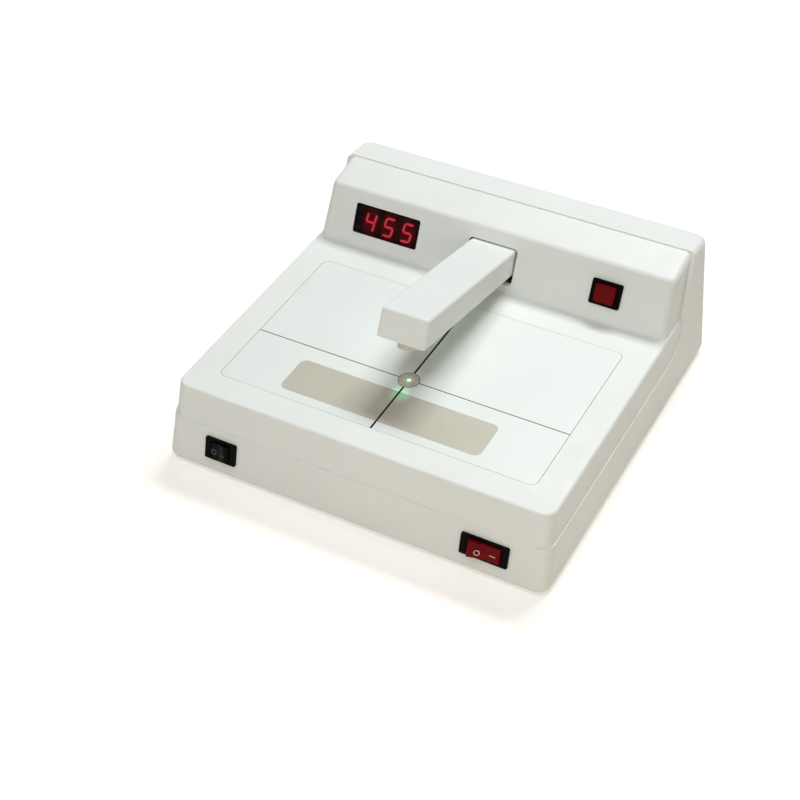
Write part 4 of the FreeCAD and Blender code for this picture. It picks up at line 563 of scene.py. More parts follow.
@dataclass(frozen=True)
class WoundWire(Finish):
    """Enamelled wire wound side by side in layers."""

    def draw(self, graph: ShaderGraph) -> None:
        """Adds the turns as bands.

        Args:
            graph: The material's nodes.
        """
        turns = graph.waves(0.0006, "Z", 0.4)
        graph.surface({
            "Base Color": graph.ramp(turns, shade(self.colour, 0.35), self.colour, (0.1, 0.6)),
            "Roughness": graph.spread(graph.noise(0.002, 3.0), 0.22, 0.4),
            "Normal": graph.bump(turns, 0.0002),
            "Metallic": 0.85,
        })


@dataclass(frozen=True)
class StackedSteel(Finish):
    """Varnished laminations, edge on."""

    def draw(self, graph: ShaderGraph) -> None:
        """Adds the sheets' edges as bands across the stack.

        Args:
            graph: The material's nodes.
        """
        sheets = graph.waves(0.0005, "Y", 0.2)
        graph.surface({
            "Base Color": graph.ramp(sheets, shade(self.colour, 0.4), self.colour, (0.15, 0.5)),
            "Roughness": graph.spread(graph.noise(0.005, 3.0), 0.4, 0.62),
            "Normal": graph.bump(sheets, 0.00008),
            "Metallic": 0.7,
        })


@dataclass(frozen=True)
class SoftRubber(Finish):
    """Matt rubber with a bloom of dust."""

    def draw(self, graph: ShaderGraph) -> None:
        """Adds the bloom and a pitted relief.

        Args:
            graph: The material's nodes.
        """
        bloom = graph.noise(0.004, 5.0)
        graph.surface({
            "Base Color": graph.ramp(bloom, self.colour, shade(self.colour, 1.9), (0.35, 0.8)),
            "Roughness": graph.spread(bloom, 0.7, 0.9),
            "Normal": graph.bump(graph.noise(0.0007, 4.0), 0.00004),
        })


# ---- modelling ----


class Element(Enum):
    """What is picked in edit mode."""

    EDGES = "EDGE"
    FACES = "FACE"


def take(*pieces: Piece) -> None:
    """Selects these pieces only and makes the first of them active.

    Args:
        pieces: The pieces, or none.
    """
    if bpy.context.object is not None and bpy.context.object.mode != "OBJECT":
        bpy.ops.object.mode_set(mode="OBJECT")
    bpy.ops.object.select_all(action="DESELECT")
    for piece in pieces:
        piece.select_set(True)
    if pieces:
        bpy.context.view_layer.objects.active = pieces[0]


def named(name: str) -> Piece:
    """Names what was just added.

    Args:
        name: Its name, and its data's.

    Returns:
        What was added.
    """
    piece = bpy.context.object
    piece.name = name
    piece.data.name = name
    return piece


def opened(name: str) -> Piece:
    """Opens the primitive that was just added in edit mode, with everything selected.

    Args:
        name: The piece's name.

    Returns:
        The piece.
    """
    piece = named(name)
    bpy.ops.object.mode_set(mode="EDIT")
    bpy.ops.mesh.select_all(action="SELECT")
    return piece


def disc(name: str, sides: int, radius: float) -> Piece:
    """Opens a flat disc, from which a piece is modelled.

    Args:
        name: The piece's name.
        sides: How many sides it has.
        radius: Its radius, in metres.

    Returns:
        The piece.
    """
    take()
    bpy.ops.mesh.primitive_circle_add(vertices=sides, radius=radius, fill_type="NGON")
    return opened(name)


def slab(name: str, width: float, length: float, depth: float = 0) -> Piece:
    """Opens a block, from which a piece is modelled, or a sheet if it has no depth.

    Args:
        name: The piece's name.
        width: Its size along X.
        length: Its size along Y.
        depth: Its size along Z.

    Returns:
        The piece.
    """
    take()
    if depth:
        bpy.ops.mesh.primitive_cube_add(size=1)
    else:
        bpy.ops.mesh.primitive_plane_add(size=1)
    piece = opened(name)
    scale(width, length, depth or 1)
    return piece


def pick(kind: Element, test: Callable[[Vector, Vector], bool]) -> None:
    """Selects, in edit mode, what passes a test.

    Args:
        kind: Edges or faces.
        test: Takes an element's middle, and its direction or normal.
    """
    bpy.ops.mesh.select_all(action="DESELECT")
    bpy.ops.mesh.select_mode(type=kind.value)
    piece = bpy.context.object
    mesh = bmesh.from_edit_mesh(piece.data)
    if kind is Element.FACES:
        found = [(face, face.calc_center_median(), face.normal) for face in mesh.faces]
    else:
        ends = [(edge, edge.verts[0].co, edge.verts[1].co) for edge in mesh.edges]
        found = [(edge, (one + two) / 2, two - one) for edge, one, two in ends]
    for element, middle, direction in found:
        if test(middle, direction):
            element.select_set(True)
    mesh.select_flush(True)
    bmesh.update_edit_mesh(piece.data)


def extrude(x: float, y: float, z: float) -> None:
    """Extrudes what is selected."""
    bpy.ops.mesh.extrude_region_move(TRANSFORM_OT_translate={"value": (x, y, z)})


def scale(x: float, y: float, z: float = 1) -> None:
    """Scales what is selected about the origin."""
    bpy.ops.transform.resize(value=(x, y, z), center_override=(0, 0, 0))


def close() -> None:
    """Merges doubles, turns the faces outwards and leaves edit mode."""
    bpy.ops.mesh.select_all(action="SELECT")
    bpy.ops.mesh.remove_doubles(threshold=1e-7)
    bpy.ops.mesh.normals_make_consistent(inside=False)
    bpy.ops.object.mode_set(mode="OBJECT")


def soften(piece: Piece, width: float, steps: int = 2) -> None:
    """Rounds a piece's sharp edges and shades it smooth.

    Args:
        piece: The piece.
        width: The width of the rounding, in metres.
        steps: How many faces cross it.
    """
    take(piece)
    bevel = piece.modifiers.new("edges", "BEVEL")
    bevel.width = width
    bevel.segments = steps
    bevel.limit_method = "ANGLE"
    bevel.angle_limit = math.radians(40)
    bpy.ops.object.modifier_apply(modifier=bevel.name)
    bpy.ops.object.shade_smooth_by_angle(angle=math.radians(35))


def copied(piece: Piece, name: str, place: Matrix) -> Piece:
    """Copies a piece with its own mesh, and moves the mesh.

    Args:
        piece: The piece to copy.
        name: The copy's name.
        place: Where the copy goes.

    Returns:
        The copy.
    """
    take(piece)
    bpy.ops.object.duplicate(linked=False)
    copy = named(name)
    copy.data.transform(place)
    return copy


def joined(pieces: list[Piece], name: str) -> Piece:
    """Joins pieces into one.

    Args:
        pieces: The pieces.
        name: The name of the result.

    Returns:
        The joined piece.
    """
    take(*pieces)
    bpy.ops.object.join()
    return named(name)


def settle(piece: Piece, place: Matrix, body: str, finish: Finish) -> None:
    """Puts a finished piece in its place, gives it its finish and lets it ride.

    Args:
        piece: The piece, modelled round the origin.
        place: Where it goes, in metres.
        body: The body that carries it.
        finish: Its finish.
    """
    take(piece)
    piece.matrix_world = place @ piece.matrix_world
    bpy.ops.object.transform_apply(location=True, rotation=True, scale=True)
    piece.data.materials.clear()
    piece.data.materials.append(finish.material())
    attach(piece, body)


def facing(origin: Vector, outward: Vector) -> Matrix:
    """Builds the place of a piece that lies on a face.

    Args:
        origin: The point on the face.
        outward: The face's normal, along the piece's Z.

    Returns:
        The place, with the piece's X across the instrument.
    """
    out = outward.normalized()
    right = (X - out * X.dot(out)).normalized()
    turned = Matrix((right, out.cross(right), out)).transposed().to_4x4()
    return Matrix.Translation(origin) @ turned


def rows(across: tuple[float, ...], along: tuple[float, ...], height: float) -> list[Matrix]:
    """Gives the places of pieces that stand in rows, each named by its X and its Y."""
    return [Matrix.Translation((x, y, height)) for x in across for y in along]


def dress(finishes: dict[str, Finish]) -> None:
    """Gives CAD nodes their finishes.

    Args:
        finishes: Each node's finish.
    """
    for name, finish in finishes.items():
        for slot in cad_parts[name].material_slots:
            slot.material = finish.material()
        log.info("%s: %s", name, finish.name)


# ---- the finishes of this instrument ----

CASE_WHITE = MouldedPlastic("case_white", tone(238, 242, 238))
STAGE_WHITE = MouldedPlastic(
    "stage_white", tone(235, 241, 237), roughness=0.36, grain=0.0004, relief=0.000006, mottle=0.02
)
COLLAR_WHITE = MouldedPlastic("collar_white", tone(214, 210, 202), roughness=0.4)
SWITCH_BLACK = MouldedPlastic(
    "switch_black", tone(7, 6, 6), roughness=0.38, relief=0.000006, mottle=0.25, shine=0.04
)
INSIDE_BLACK = MouldedPlastic(
    "inside_black", tone(22, 20, 20), roughness=0.5, mottle=0.2, shine=0.15
)
NYLON = MouldedPlastic("natural_nylon", tone(222, 218, 204), roughness=0.4, mottle=0.06)
ROCKER_BLACK = GlossyPlastic("rocker_black", tone(8, 7, 7), roughness=0.18, shine=0.05)
LENS_RED = GlossyPlastic("lens_red", tone(118, 3, 8), roughness=0.12, clear=0.25)
WINDOW_RED = ClearPane("red_window", tone(190, 54, 66), roughness=0.14, index=1.14, shine=0.04)
GLASS = ClearPane("glass", tone(245, 248, 246), roughness=0.01, index=1.52)
SATIN_METAL = BrushedMetal("satin_panel", tone(187, 184, 169), roughness=0.5, bare=0.12)
ZINC = PlatedMetal("zinc_plate", tone(196, 198, 200))
SPRING_WIRE = PlatedMetal("spring_wire", tone(150, 150, 152), roughness=0.25, crystal=0.0006)
BRASS = PlatedMetal("bright_brass", tone(214, 178, 98), roughness=0.22)
DIODE_CAN = PlatedMetal("diode_metal", tone(208, 204, 196), roughness=0.18, crystal=0.0008)
COPPER = WoundWire("copper_windings", tone(196, 98, 48))
CORE = StackedSteel("stacked_steel", tone(112, 110, 106))
BOARD = CircuitLaminate("board_laminate", tone(22, 84, 48))
RUBBER = SoftRubber("soft_rubber", tone(34, 33, 32))
LINE_INK = PrintedInk("dark_ink", tone(7, 6, 5))
MARK_WHITE = PrintedInk("mark_white", tone(226, 196, 190))
MARK_GREY = PrintedInk("mark_grey", tone(104, 102, 99))


# ---- sub-assemblies ----


@dataclass
class Screws:
    """Pan-head screws with a cross recess that stand for one CAD node.

    Attributes:
        node: The CAD node.
        body: The body that carries them.
        length: The length under the head.
        seats: Where each head sits, with its Z towards the head.
        crest: The thread's outer radius.
        root: The thread's inner radius.
        pitch: The distance from one crest to the next.
        head: The head's radius.
        tall: The head's height.
        arm: The width of the recess's arms.
        reach: How far each arm reaches beyond that width.
        deep: The recess's depth.
    """

    # One turn of the thread: how far each step drops, in pitches, and if it ends on the crest.
    TURN = ((0.38, True), (0.14, True), (0.38, False), (0.1, False))
    # The head from its seat up: the share of its height that each step rises, and its radius.
    DOME = ((0, 1), (0.5, 1), (0.22, 0.93), (0.16, 0.74), (0.12, 0.4))
    UPSIDE_DOWN = Matrix.Rotation(math.pi, 4, "X")

    node: str
    body: str
    length: float
    seats: list[Matrix]
    crest: float = 1.48 * MM
    root: float = 1.16 * MM
    pitch: float = 0.8 * MM
    head: float = 2.78 * MM
    tall: float = 2.18 * MM
    arm: float = 0.62 * MM
    reach: float = 1.05 * MM
    deep: float = 1.3 * MM

    def build(self) -> None:
        """Models one screw, copies it to each seat and lets the lot stand for the node."""
        pattern = self.shank()
        self.recess(pattern)
        copies = [copied(pattern, "screw", seat) for seat in self.seats]
        bpy.data.objects.remove(pattern)
        lot = joined(copies, f"{self.node}_threaded")
        settle(lot, Matrix.Identity(4), self.body, ZINC)
        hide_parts(self.node)
        log.info("%s: %d screws", lot.name, len(copies))

    def step(self, height: float, was: float, radius: float) -> float:
        """Extrudes the picked end along Z and changes its radius.

        Args:
            height: How far along Z.
            was: The end's radius before.
            radius: The end's radius after.

        Returns:
            The radius after.
        """
        extrude(0, 0, height)
        scale(radius / was, radius / was)
        return radius

    def shank(self) -> Piece:
        """Models the thread down to a chamfered end and the domed head above it.

        Returns:
            The screw, with its seat at the origin.
        """
        screw = disc(f"{self.node}_pattern", 32, self.root)
        radius, turns = self.root, int((self.length - 0.6 * MM) / self.pitch)
        for drop, outside in self.TURN * turns:
            radius = self.step(-drop * self.pitch, radius, self.crest if outside else self.root)
        self.step(turns * self.pitch - self.length, radius, self.root * 0.7)
        pick(Element.FACES, lambda middle, _: abs(middle.z) < 1e-6)
        radius = self.root
        for rise, share in self.DOME:
            radius = self.step(rise * self.tall, radius, share * self.head)
        close()
        return screw

    def recess(self, screw: Piece) -> None:
        """Cuts the cross recess, narrower at its floor, into the head.

        Args:
            screw: The screw.
        """
        above = 0.3 * MM
        cross = slab("cross", self.arm, self.arm)
        for way in (-X, -Y, X, Y):
            pick(Element.EDGES, lambda middle, _: (middle - way * self.arm / 2).length < 1e-6)
            extrude(*(way * self.reach))
        bpy.ops.mesh.select_all(action="SELECT")
        bpy.ops.transform.translate(value=(0, 0, self.tall + above))
        extrude(0, 0, -self.deep - above)
        scale(0.6, 0.6)
        close()
        take(screw)
        cut = screw.modifiers.new("recess", "BOOLEAN")
        cut.operation = "DIFFERENCE"
        cut.object = cross
        bpy.ops.object.modifier_apply(modifier=cut.name)
        bpy.ops.object.shade_smooth_by_angle(angle=math.radians(32))
        bpy.data.objects.remove(cross)


@dataclass
class Housing:
    """The two case mouldings with their feet and screws.

    Attributes:
        across: The screws' places across the instrument.
        along: Their places from front to back.
        seat: The height of their heads' seats.
    """

    across: Pair = (-98.3 * MM, 98.3 * MM)
    along: Pair = (-85.583 * MM, 42.712 * MM)
    seat: float = 22.5 * MM

    def build(self) -> None:
        """Dresses the case and adds its screws."""
        dress({"lower_shell": CASE_WHITE, "upper_cover": CASE_WHITE, "rubber_feet": RUBBER})
        seats = [seat @ Screws.UPSIDE_DOWN for seat in rows(self.across, self.along, self.seat)]
        Screws("case_screws", "base", 16 * MM, seats).build()


@dataclass
class Stage:
    """The film stage with its lines, its panel and the lit disc.

    Attributes:
        hole: The radius of the hole in the disc.
        dome: How far each ring of the lit core rises above the one round it.
        sunk: How far the lit core lies below the stage.
    """

    hole: float = 1.0 * MM
    dome: Triple = (0.1 * MM, 0.0625 * MM, 0.03125 * MM)
    sunk: float = 0.3 * MM

    def build(self) -> None:
        """Dresses the stage and puts the light in its hole."""
        low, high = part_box("aperture_disc")
        centre = Vector(((low.x + high.x) / 2, (low.y + high.y) / 2, high.z))
        dress({
            "stage_plate": STAGE_WHITE,
            "crosshair": LINE_INK,
            "blank_panel": SATIN_METAL,
            "aperture_disc": LitFrost("lit_frost", tone(222, 212, 196), centre=tuple(centre)),
        })
        self.light(centre)

    def light(self, centre: Vector) -> None:
        """Models the lit core that fills the hole, a low dome.

        Args:
            centre: The hole's middle, at the stage's face.
        """
        core = disc("aperture_light", 40, self.hole * 0.96)
        extrude(0, 0, 0.08 * MM)
        for rise in self.dome:
            bpy.ops.mesh.inset(thickness=self.hole * 0.24)
            bpy.ops.transform.translate(value=(0, 0, rise))
        close()
        take(core)
        bpy.ops.object.shade_smooth()
        glow = tone(205, 255, 228)
        lit = LitElement("aperture_glow", tone(180, 255, 220), glow=glow, strength=2.2)
        settle(core, Matrix.Translation(centre - Z * self.sunk), "base", lit)


@dataclass
class LightSource:
    """The lamp, its lens and the tube under the disc."""

    def build(self) -> None:
        """Dresses the light source."""
        dress({
            "light_tube": INSIDE_BLACK,
            "lamp": GLASS,
            "condenser_lens": GLASS,
            "lamp_board": BOARD,
        })


@dataclass
class SensorArm:
    """The hinged arm with its sensor, and the pivot that carries it.

    Attributes:
        rise: How far the resting arm's floor climbs towards its nose.
        pivot: The pivot's middle.
        hub: From the pivot forward to the arm's screws.
        floor: From the pivot down to their seats.
        pair: Their places across the arm.
        foot: The height of the bracket's foot, where its own screws sit.
        ears: Their places across the instrument.
    """

    rise: float = math.radians(12.3)
    pivot: Triple = (0, 74.915 * MM, 65.2 * MM)
    hub: float = 10.5 * MM
    floor: float = 8.2 * MM
    pair: Pair = (-7.5 * MM, 7.5 * MM)
    foot: float = 8 * MM
    ears: Pair = (-22.7 * MM, 22.7 * MM)

    def build(self) -> None:
        """Dresses the arm and its pivot, and adds their screws."""
        dress({
            "arm_housing": CASE_WHITE,
            "arm_bottom_cover": CASE_WHITE,
            "arm_bushes": BRASS,
            "sensor_collar": COLLAR_WHITE,
            "detector_window": GLASS,
            "photodiode": DIODE_CAN,
            "detector_board": BOARD,
            "arm_bracket": ZINC,
            "pivot_shaft": ZINC,
            "shaft_clips": SPRING_WIRE,
            "arm_spring": SPRING_WIRE,
        })
        level = Matrix.Translation(self.pivot) @ Matrix.Rotation(-self.rise, 4, "X")
        under = rows(self.pair, (-self.hub,), -self.floor)
        seats = [level @ spot @ Screws.UPSIDE_DOWN for spot in under]
        Screws("arm_screws", "arm", 6.15 * MM, seats).build()
        seats = rows(self.ears, (self.pivot[1],), self.foot)
        Screws("bracket_screws", "base", 3.5 * MM, seats).build()


class Segment(Enum):
    """The seven bars of a digit: which way each lies, and where in half digits."""

    TOP = ("flat", 0, 1)
    UPPER_LEFT = ("up", -1, 0.5)
    UPPER_RIGHT = ("up", 1, 0.5)
    MIDDLE = ("flat", 0, 0)
    LOWER_LEFT = ("up", -1, -0.5)
    LOWER_RIGHT = ("up", 1, -0.5)
    BOTTOM = ("flat", 0, -1)


FOUR = {Segment.UPPER_LEFT, Segment.UPPER_RIGHT, Segment.MIDDLE, Segment.LOWER_RIGHT}
FIVE = {Segment.TOP, Segment.UPPER_LEFT, Segment.MIDDLE, Segment.LOWER_RIGHT, Segment.BOTTOM}


@dataclass
class Display:
    """The lit display: a red window, three digits and their board.

    Attributes:
        foot: Where the console's face meets the deck.
        lean: How far the face leans back.
        behind: From the face to the digits' faces.
        centres: The digits' middles across the instrument.
        climb: The digits' middle up the face.
        half_width: Half the distance between a digit's upright bars.
        half_height: Half the distance between its top and bottom bars.
        bar: The width of a bar.
        gap: The room between the ends of two bars.
        slant: How far the digits lean to the right.
        tall: The height of a digit's body.
        deep: Its depth.
        middle: Its middle up the face.
    """

    foot: Vector = Vector((0, 54.715 * MM, 50.2 * MM))
    lean: float = math.radians(25)
    behind: float = 4.75 * MM
    centres: Triple = (-85.4 * MM, -72.4 * MM, -59.4 * MM)
    climb: float = 16.4 * MM
    half_width: float = 2.95 * MM
    half_height: float = 5.6 * MM
    bar: float = 1.45 * MM
    gap: float = 0.16 * MM
    slant: float = math.radians(8)
    tall: float = 19 * MM
    deep: float = 7.6 * MM
    middle: float = 18 * MM

    def on_face(self, across: float, climb: float, behind: float) -> Matrix:
        """Gives the place of a piece behind the console's face.

        Args:
            across: The place across the instrument.
            climb: The height up the face.
            behind: How far behind the face.

        Returns:
            The place.
        """
        up = Vector((0, math.sin(self.lean), math.cos(self.lean)))
        outward = Vector((0, -math.cos(self.lean), math.sin(self.lean)))
        return facing(self.foot + X * across + up * climb - outward * behind, outward)

    def build(self) -> None:
        """Dresses the display and models its digits."""
        dress({"display_filter": WINDOW_RED, "display_board": BOARD, "display_spacers": NYLON})
        glow = tone(255, 246, 252)
        lit = LitElement("digit_lit", tone(120, 20, 24), glow=glow, strength=0.95)
        unlit = GlossyPlastic("digit_unlit", tone(96, 30, 34), roughness=0.4)
        spans = {"flat": 2 * self.half_width, "up": self.half_height}
        patterns = {lies: self.bar_piece(f"bar_{lies}", span) for lies, span in spans.items()}
        for number, (across, shown) in enumerate(zip(self.centres, (FOUR, FIVE, FIVE)), 1):
            place = self.on_face(across, self.climb, self.behind)
            for word, finish, wanted in (("lit", lit, True), ("unlit", unlit, False)):
                bars = [self.placed(patterns, bar) for bar in Segment if (bar in shown) == wanted]
                digit = joined(bars, f"digit_{number}_{word}")
                settle(digit, place, "base", finish)
                log.info("%s: %d bars", digit.name, len(bars))
            self.module(number, across)
        for pattern in patterns.values():
            bpy.data.objects.remove(pattern)

    def bar_piece(self, name: str, span: float) -> Piece:
        """Models one bar along X, with a point at each end.

        Args:
            name: The bar's name.
            span: The distance between the bar's corners.

        Returns:
            The bar.
        """
        body = span - self.bar - self.gap
        piece = slab(name, body, self.bar)
        for side in (-1, 1):
            pick(Element.EDGES, lambda middle, _: middle.x * side > body * 0.49)
            extrude(side * self.bar * 0.5, 0, 0)
            scale(1, 0.1)
        bpy.ops.mesh.select_all(action="SELECT")
        extrude(0, 0, 0.12 * MM)
        close()
        soften(piece, 0.05 * MM)
        return piece

    def placed(self, patterns: dict[str, Piece], segment: Segment) -> Piece:
        """Copies the level or the upright bar to its place in a digit.

        Args:
            patterns: Both bars.
            segment: Which of the seven it becomes.

        Returns:
            The copy.
        """
        lies, side, height = segment.value
        turn = Matrix.Rotation(math.pi / 2 if lies == "up" else 0, 4, "Z")
        shift = Matrix.Translation((side * self.half_width, height * self.half_height, 0))
        lean = Matrix.Identity(4)
        lean[0][1] = math.tan(self.slant)
        return copied(patterns[lies], "bar", lean @ shift @ turn)

    def module(self, number: int, across: float) -> None:
        """Models a digit's body: a rimmed face, a potted back and ten pins.

        Args:
            number: Which digit it is.
            across: Its middle across the instrument.
        """
        low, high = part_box("digit_modules")
        width = (high.x - low.x) / 3 - 0.15 * MM
        body = slab(f"digit_{number}_body", width, self.tall, self.deep)
        pick(Element.FACES, lambda _, normal: normal.z > 0.9)
        bpy.ops.mesh.inset(thickness=0.5 * MM)
        bpy.ops.transform.translate(value=(0, 0, -0.12 * MM))
        pick(Element.FACES, lambda _, normal: normal.z < -0.9)
        bpy.ops.mesh.inset(thickness=0.8 * MM)
        extrude(0, 0, 0.6 * MM)
        close()
        soften(body, 0.12 * MM)
        pins = [self.pin(column, row) for column in range(-2, 3) for row in (-1, 1)]
        body = joined([body, *pins], body.name)
        centre = tuple(self.on_face(across, self.climb, self.behind).translation)
        skin = GlowingBody(f"digit_{number}_skin", tone(20, 16, 16), centre=centre)
        place = self.on_face(across, self.middle, 4.7 * MM + self.deep / 2)
        settle(body, place, "base", skin)
        if number == 1:
            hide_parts("digit_modules")
        log.info("%s: body with %d pins", body.name, len(pins))

    def pin(self, column: int, row: int) -> Piece:
        """Models one pin at a body's back, with a chamfered end.

        Args:
            column: Which pin of its row, from -2 to 2.
            row: The lower row, -1, or the upper one, 1.

        Returns:
            The pin.
        """
        pitch, thick, reach = 2.54 * MM, 0.5 * MM, 3.2 * MM
        pin = slab("pin", thick, thick, reach)
        up, back = self.tall / 2 - 1.9 * MM, (self.deep + reach) / 2 - 0.3 * MM
        bpy.ops.transform.translate(value=(column * pitch, row * up, -back))
        close()
        soften(pin, 0.1 * MM, 1)
        return pin


@dataclass
class ZeroButton:
    """The push button in the console's face."""

    def build(self) -> None:
        """Dresses the button."""
        dress({
            "button_housing": SWITCH_BLACK,
            "button_cap": LENS_RED,
            "button_spring": SPRING_WIRE,
        })


@dataclass
class RockerSwitch:
    """A rocker switch in the front wall, with a ring and a bar marked on its rocker.

    Attributes:
        side: The word that its nodes' names start with.
        rocker: The rocker's finish.
        ink: The marks' finish.
        ring_at: The ring's middle across the instrument.
        bar_at: The bar's middle across the instrument.
        height: The marks' height above the floor.
        ring: The ring's outer radius.
        bar: The bar's length.
        line: The width of the marks' lines.
        proud: How far the marks stand out of the rocker.
    """

    side: str
    rocker: Finish
    ink: Finish
    ring_at: float
    bar_at: float
    height: float = 18.4 * MM
    ring: float = 1.7 * MM
    bar: float = 3.6 * MM
    line: float = 0.42 * MM
    proud: float = 0.04 * MM

    def build(self) -> None:
        """Dresses the switch and prints its marks."""
        dress({
            f"{self.side}_switch_housing": SWITCH_BLACK,
            f"{self.side}_rocker": self.rocker,
            f"{self.side}_switch_terminals": BRASS,
        })
        ring = disc(f"{self.side}_rocker_ring", 48, self.ring)
        bpy.ops.mesh.inset(thickness=self.line)
        bpy.ops.mesh.delete(type="FACE")
        self.print_mark(ring, self.ring_at)
        bar = slab(f"{self.side}_rocker_bar", self.bar, self.line)
        bpy.ops.mesh.bevel(offset=self.line * 0.3, segments=2, affect="VERTICES")
        self.print_mark(bar, self.bar_at)

    def print_mark(self, mark: Piece, across: float) -> None:
        """Thickens a flat mark and lays it on the rocker's face.

        Args:
            mark: The mark, open in edit mode.
            across: Its middle across the instrument.
        """
        bpy.ops.mesh.select_all(action="SELECT")
        extrude(0, 0, 2 * self.proud)
        close()
        soften(mark, self.proud / 3, 1)
        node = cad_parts[f"{self.side}_rocker"]
        hit, spot, normal, _ = node.ray_cast(Vector((across, -0.2, self.height)), Y)
        if not hit:
            raise ValueError(f"{mark.name} misses its rocker")
        place = facing(spot - normal * self.proud, normal)
        settle(mark, place, f"{self.side}_rocker", self.ink)
        log.info("%s: at %.1f mm across", mark.name, across / MM)


@dataclass
class MainsInlet:
    """The appliance inlet in the rear wall."""

    def build(self) -> None:
        """Dresses the inlet."""
        dress({"inlet_socket": INSIDE_BLACK, "inlet_blades": BRASS})


@dataclass
class Electronics:
    """The main board and the mains transformer.

    Attributes:
        across: The board's screws across the instrument.
        along: Their places from front to back.
        seat: The height of the board's top.
    """

    across: Pair = (-70 * MM, 70 * MM)
    along: Pair = (-82.625 * MM, -8.625 * MM)
    seat: float = 13.6 * MM

    def build(self) -> None:
        """Dresses the electronics and adds the board's screws."""
        dress({
            "main_board": BOARD,
            "board_chips": INSIDE_BLACK,
            "transformer_coil": COPPER,
            "transformer_core": CORE,
        })
        seats = rows(self.across, self.along, self.seat)
        Screws("board_screws", "base", 7.6 * MM, seats).build()


# ---- studio ----


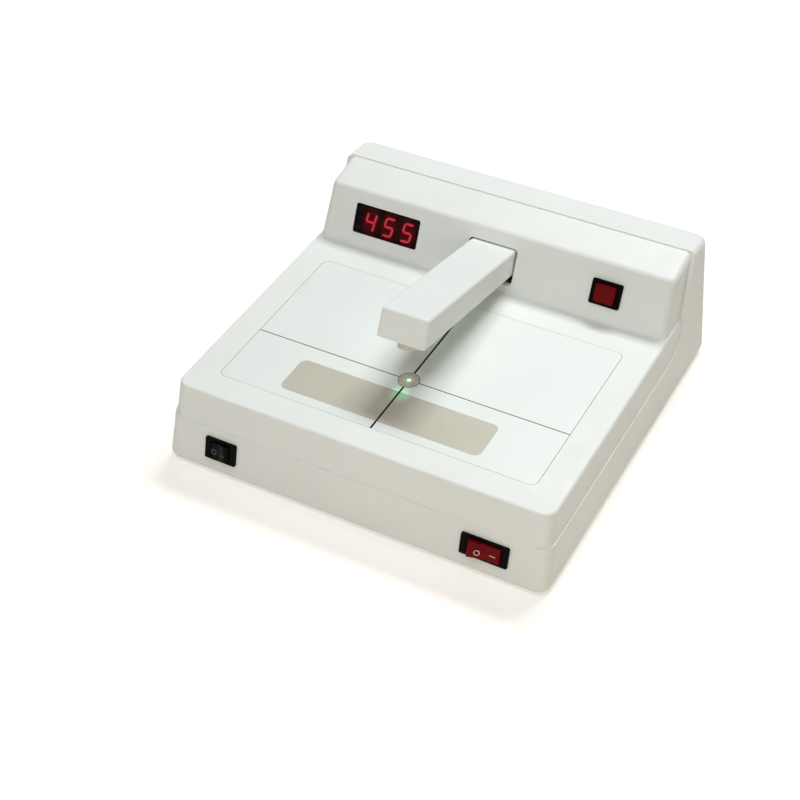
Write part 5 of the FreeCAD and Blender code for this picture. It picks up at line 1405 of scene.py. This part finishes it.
@dataclass
class Studio:
    """Floor, air, lamps and camera round the instrument.

    Attributes:
        eye: Where the camera stands, in metres.
        turn: How it is turned about each axis, in degrees.
        lens: Its focal length, in millimetres.
        air: The colour of the light from all round.
        air_strength: How strong that light is.
        floor_glow: How much of the floor's white is its own near the instrument.
        floor_fade: From where to where it becomes all white, in metres.
        softboxes: Each soft lamp's name, place, power in watts, colour and size.
        mirrored: The lamps that glossy surfaces mirror.
        beam: The power of the light that falls beside the disc, in watts.
        patch: The middle of the light that it throws.
        halo: The power of the red light on the display's rim, in watts.
    """

    eye: Triple = (0.34155, -0.65823, 0.66489)
    turn: Triple = (48.158, 1.1649, 28.4432)
    lens: float = 73.674
    air: Colour = tone(255, 226, 190)
    air_strength: float = 0.05
    floor_glow: float = 0.42
    floor_fade: Pair = (0.35, 1.3)
    softboxes: tuple[tuple[str, Triple, float, Triple, Pair], ...] = (
        ("behind", (0.05, 0.88, 1.33), 15.8, (0.96, 0.98, 0.98), (0.75, 0.25)),
        ("above", (0.05, -0.5, 1.2), 5.2, (0.9, 0.93, 1.0), (0.75, 0.6)),
        ("before", (-0.1, -1.2, 0.6), 3.1, (1.0, 0.95, 0.84), (1.2, 0.6)),
        ("beside", (0.8, -0.75, 0.4), 1.8, (1.0, 0.86, 0.68), (0.7, 0.5)),
    )
    mirrored: tuple[str, ...] = ("behind", "above", "beam")
    beam: float = 0.011
    patch: Triple = (1.0 * MM, -55.5 * MM, 50.2 * MM)
    halo: float = 0.002

    def build(self) -> None:
        """Sets up the whole studio."""
        take()
        turn = [math.radians(angle) for angle in self.turn]
        bpy.ops.object.camera_add(location=self.eye, rotation=turn)
        camera = named("camera")
        camera.data.lens = self.lens
        camera.data.sensor_width = 36
        camera.data.clip_start = 0.01
        bpy.context.scene.camera = camera
        bpy.context.scene.view_settings.view_transform = "Standard"
        self.set_air()
        self.lay_floor()
        self.hang_lamps()

    def seen(self, graph: Graph) -> Socket:
        """Tells what is looked at from what only gives light.

        Args:
            graph: The nodes that ask.

        Returns:
            1 for camera, glossy and transmission rays, and 0 for the others.
        """
        path = graph.add("LightPath", {}).outputs
        total = path["Is Camera Ray"]
        for word in ("Is Glossy Ray", "Is Transmission Ray"):
            either = graph.add("Math", {0: total, 1: path[word]}, operation="MAXIMUM")
            total = either.outputs["Value"]
        return total

    def set_air(self) -> None:
        """Makes the air white to look at and a warm soft light on the instrument."""
        world = bpy.data.worlds.new("air")
        bpy.context.scene.world = world
        world.use_nodes = True
        graph = Graph(world.node_tree)
        light = graph.add("Background", {"Color": self.air, "Strength": self.air_strength})
        white = graph.add("Background", {"Color": WHITE})
        both = {0: self.seen(graph), 1: light.outputs[0], 2: white.outputs[0]}
        graph.add("OutputWorld", {"Surface": graph.add("MixShader", both).outputs[0]})

    def lay_floor(self) -> None:
        """Lays a plain pale floor that keeps the instrument's shadow."""
        take()
        bpy.ops.mesh.primitive_plane_add(size=8)
        floor = named("floor")
        paper = bpy.data.materials.new("paper")
        paper.use_nodes = True
        graph = Graph(paper.node_tree)
        place = graph.add("TexCoord", {}).outputs["Object"]
        away = graph.add("VectorMath", {0: place}, operation="LENGTH").outputs["Value"]
        fade = graph.spread(away, self.floor_glow, 1.0, self.floor_fade)
        strength = graph.add("Math", {0: self.seen(graph), 1: fade}, operation="MULTIPLY")
        glow = graph.add("Emission", {"Strength": strength.outputs["Value"]})
        matt = graph.add("BsdfDiffuse", {"Color": tone(238, 233, 224)})
        both = graph.add("AddShader", {0: matt.outputs[0], 1: glow.outputs[0]})
        graph.add("OutputMaterial", {"Surface": both.outputs[0]})
        floor.data.materials.append(paper)

    def lamp(
        self, name: str, at: Triple, aim: Triple, power: float, colour: Triple, size: Pair | None
    ) -> Piece:
        """Hangs one lamp.

        Args:
            name: Its name.
            at: Where it hangs.
            aim: The point it shines at.
            power: Its power, in watts.
            colour: Its colour.
            size: The width and depth of a soft lamp, or None for a spot.

        Returns:
            The lamp.
        """
        take()
        turn = (Vector(aim) - Vector(at)).to_track_quat("-Z", "Y").to_euler()
        bpy.ops.object.light_add(type="AREA" if size else "SPOT", location=at, rotation=turn)
        lamp = named(name)
        lamp.data.energy = power
        lamp.data.color = colour
        lamp.visible_camera = False
        lamp.visible_glossy = name in self.mirrored
        if size:
            lamp.data.shape = "RECTANGLE"
            lamp.data.size, lamp.data.size_y = size
        return lamp

    def hang_lamps(self) -> None:
        """Hangs the softboxes, the red light before the display and the beam's green patch."""
        for name, at, power, colour, size in self.softboxes:
            self.lamp(name, at, (0, 0, 50 * MM), power, colour, size)
        middle = sum(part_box("detector_window"), Vector()) / 2 - Z * 4 * MM
        beam = self.lamp("beam", middle, self.patch, self.beam, (0.05, 1.0, 0.42), None)
        beam.data.spot_size = math.radians(29)
        beam.data.spot_blend = 0.8
        beam.data.shadow_soft_size = 1 * MM
        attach(beam, "arm")
        middle = sum(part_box("display_filter"), Vector()) / 2
        before = middle + Vector((0, -4 * MM, 2 * MM))
        size = (30 * MM, 10 * MM)
        halo = self.lamp("halo", before, middle, self.halo, (1.0, 0.1, 0.12), size)
        halo.visible_transmission = False


# ---- the instrument ----


def main() -> None:
    """Builds the studio and each sub-assembly."""
    logging.basicConfig(level=logging.INFO, format="%(message)s")
    Studio().build()
    parts = (
        Housing(),
        Stage(),
        LightSource(),
        SensorArm(),
        Display(),
        ZeroButton(),
        RockerSwitch("left", ROCKER_BLACK, MARK_GREY, -87.8 * MM, -81.6 * MM),
        RockerSwitch("power", LENS_RED, MARK_WHITE, 81.0 * MM, 89.7 * MM),
        MainsInlet(),
        Electronics(),
    )
    for part in parts:
        log.info("building %s", type(part).__name__)
        part.build()


if __name__ == "__main__":
    main()
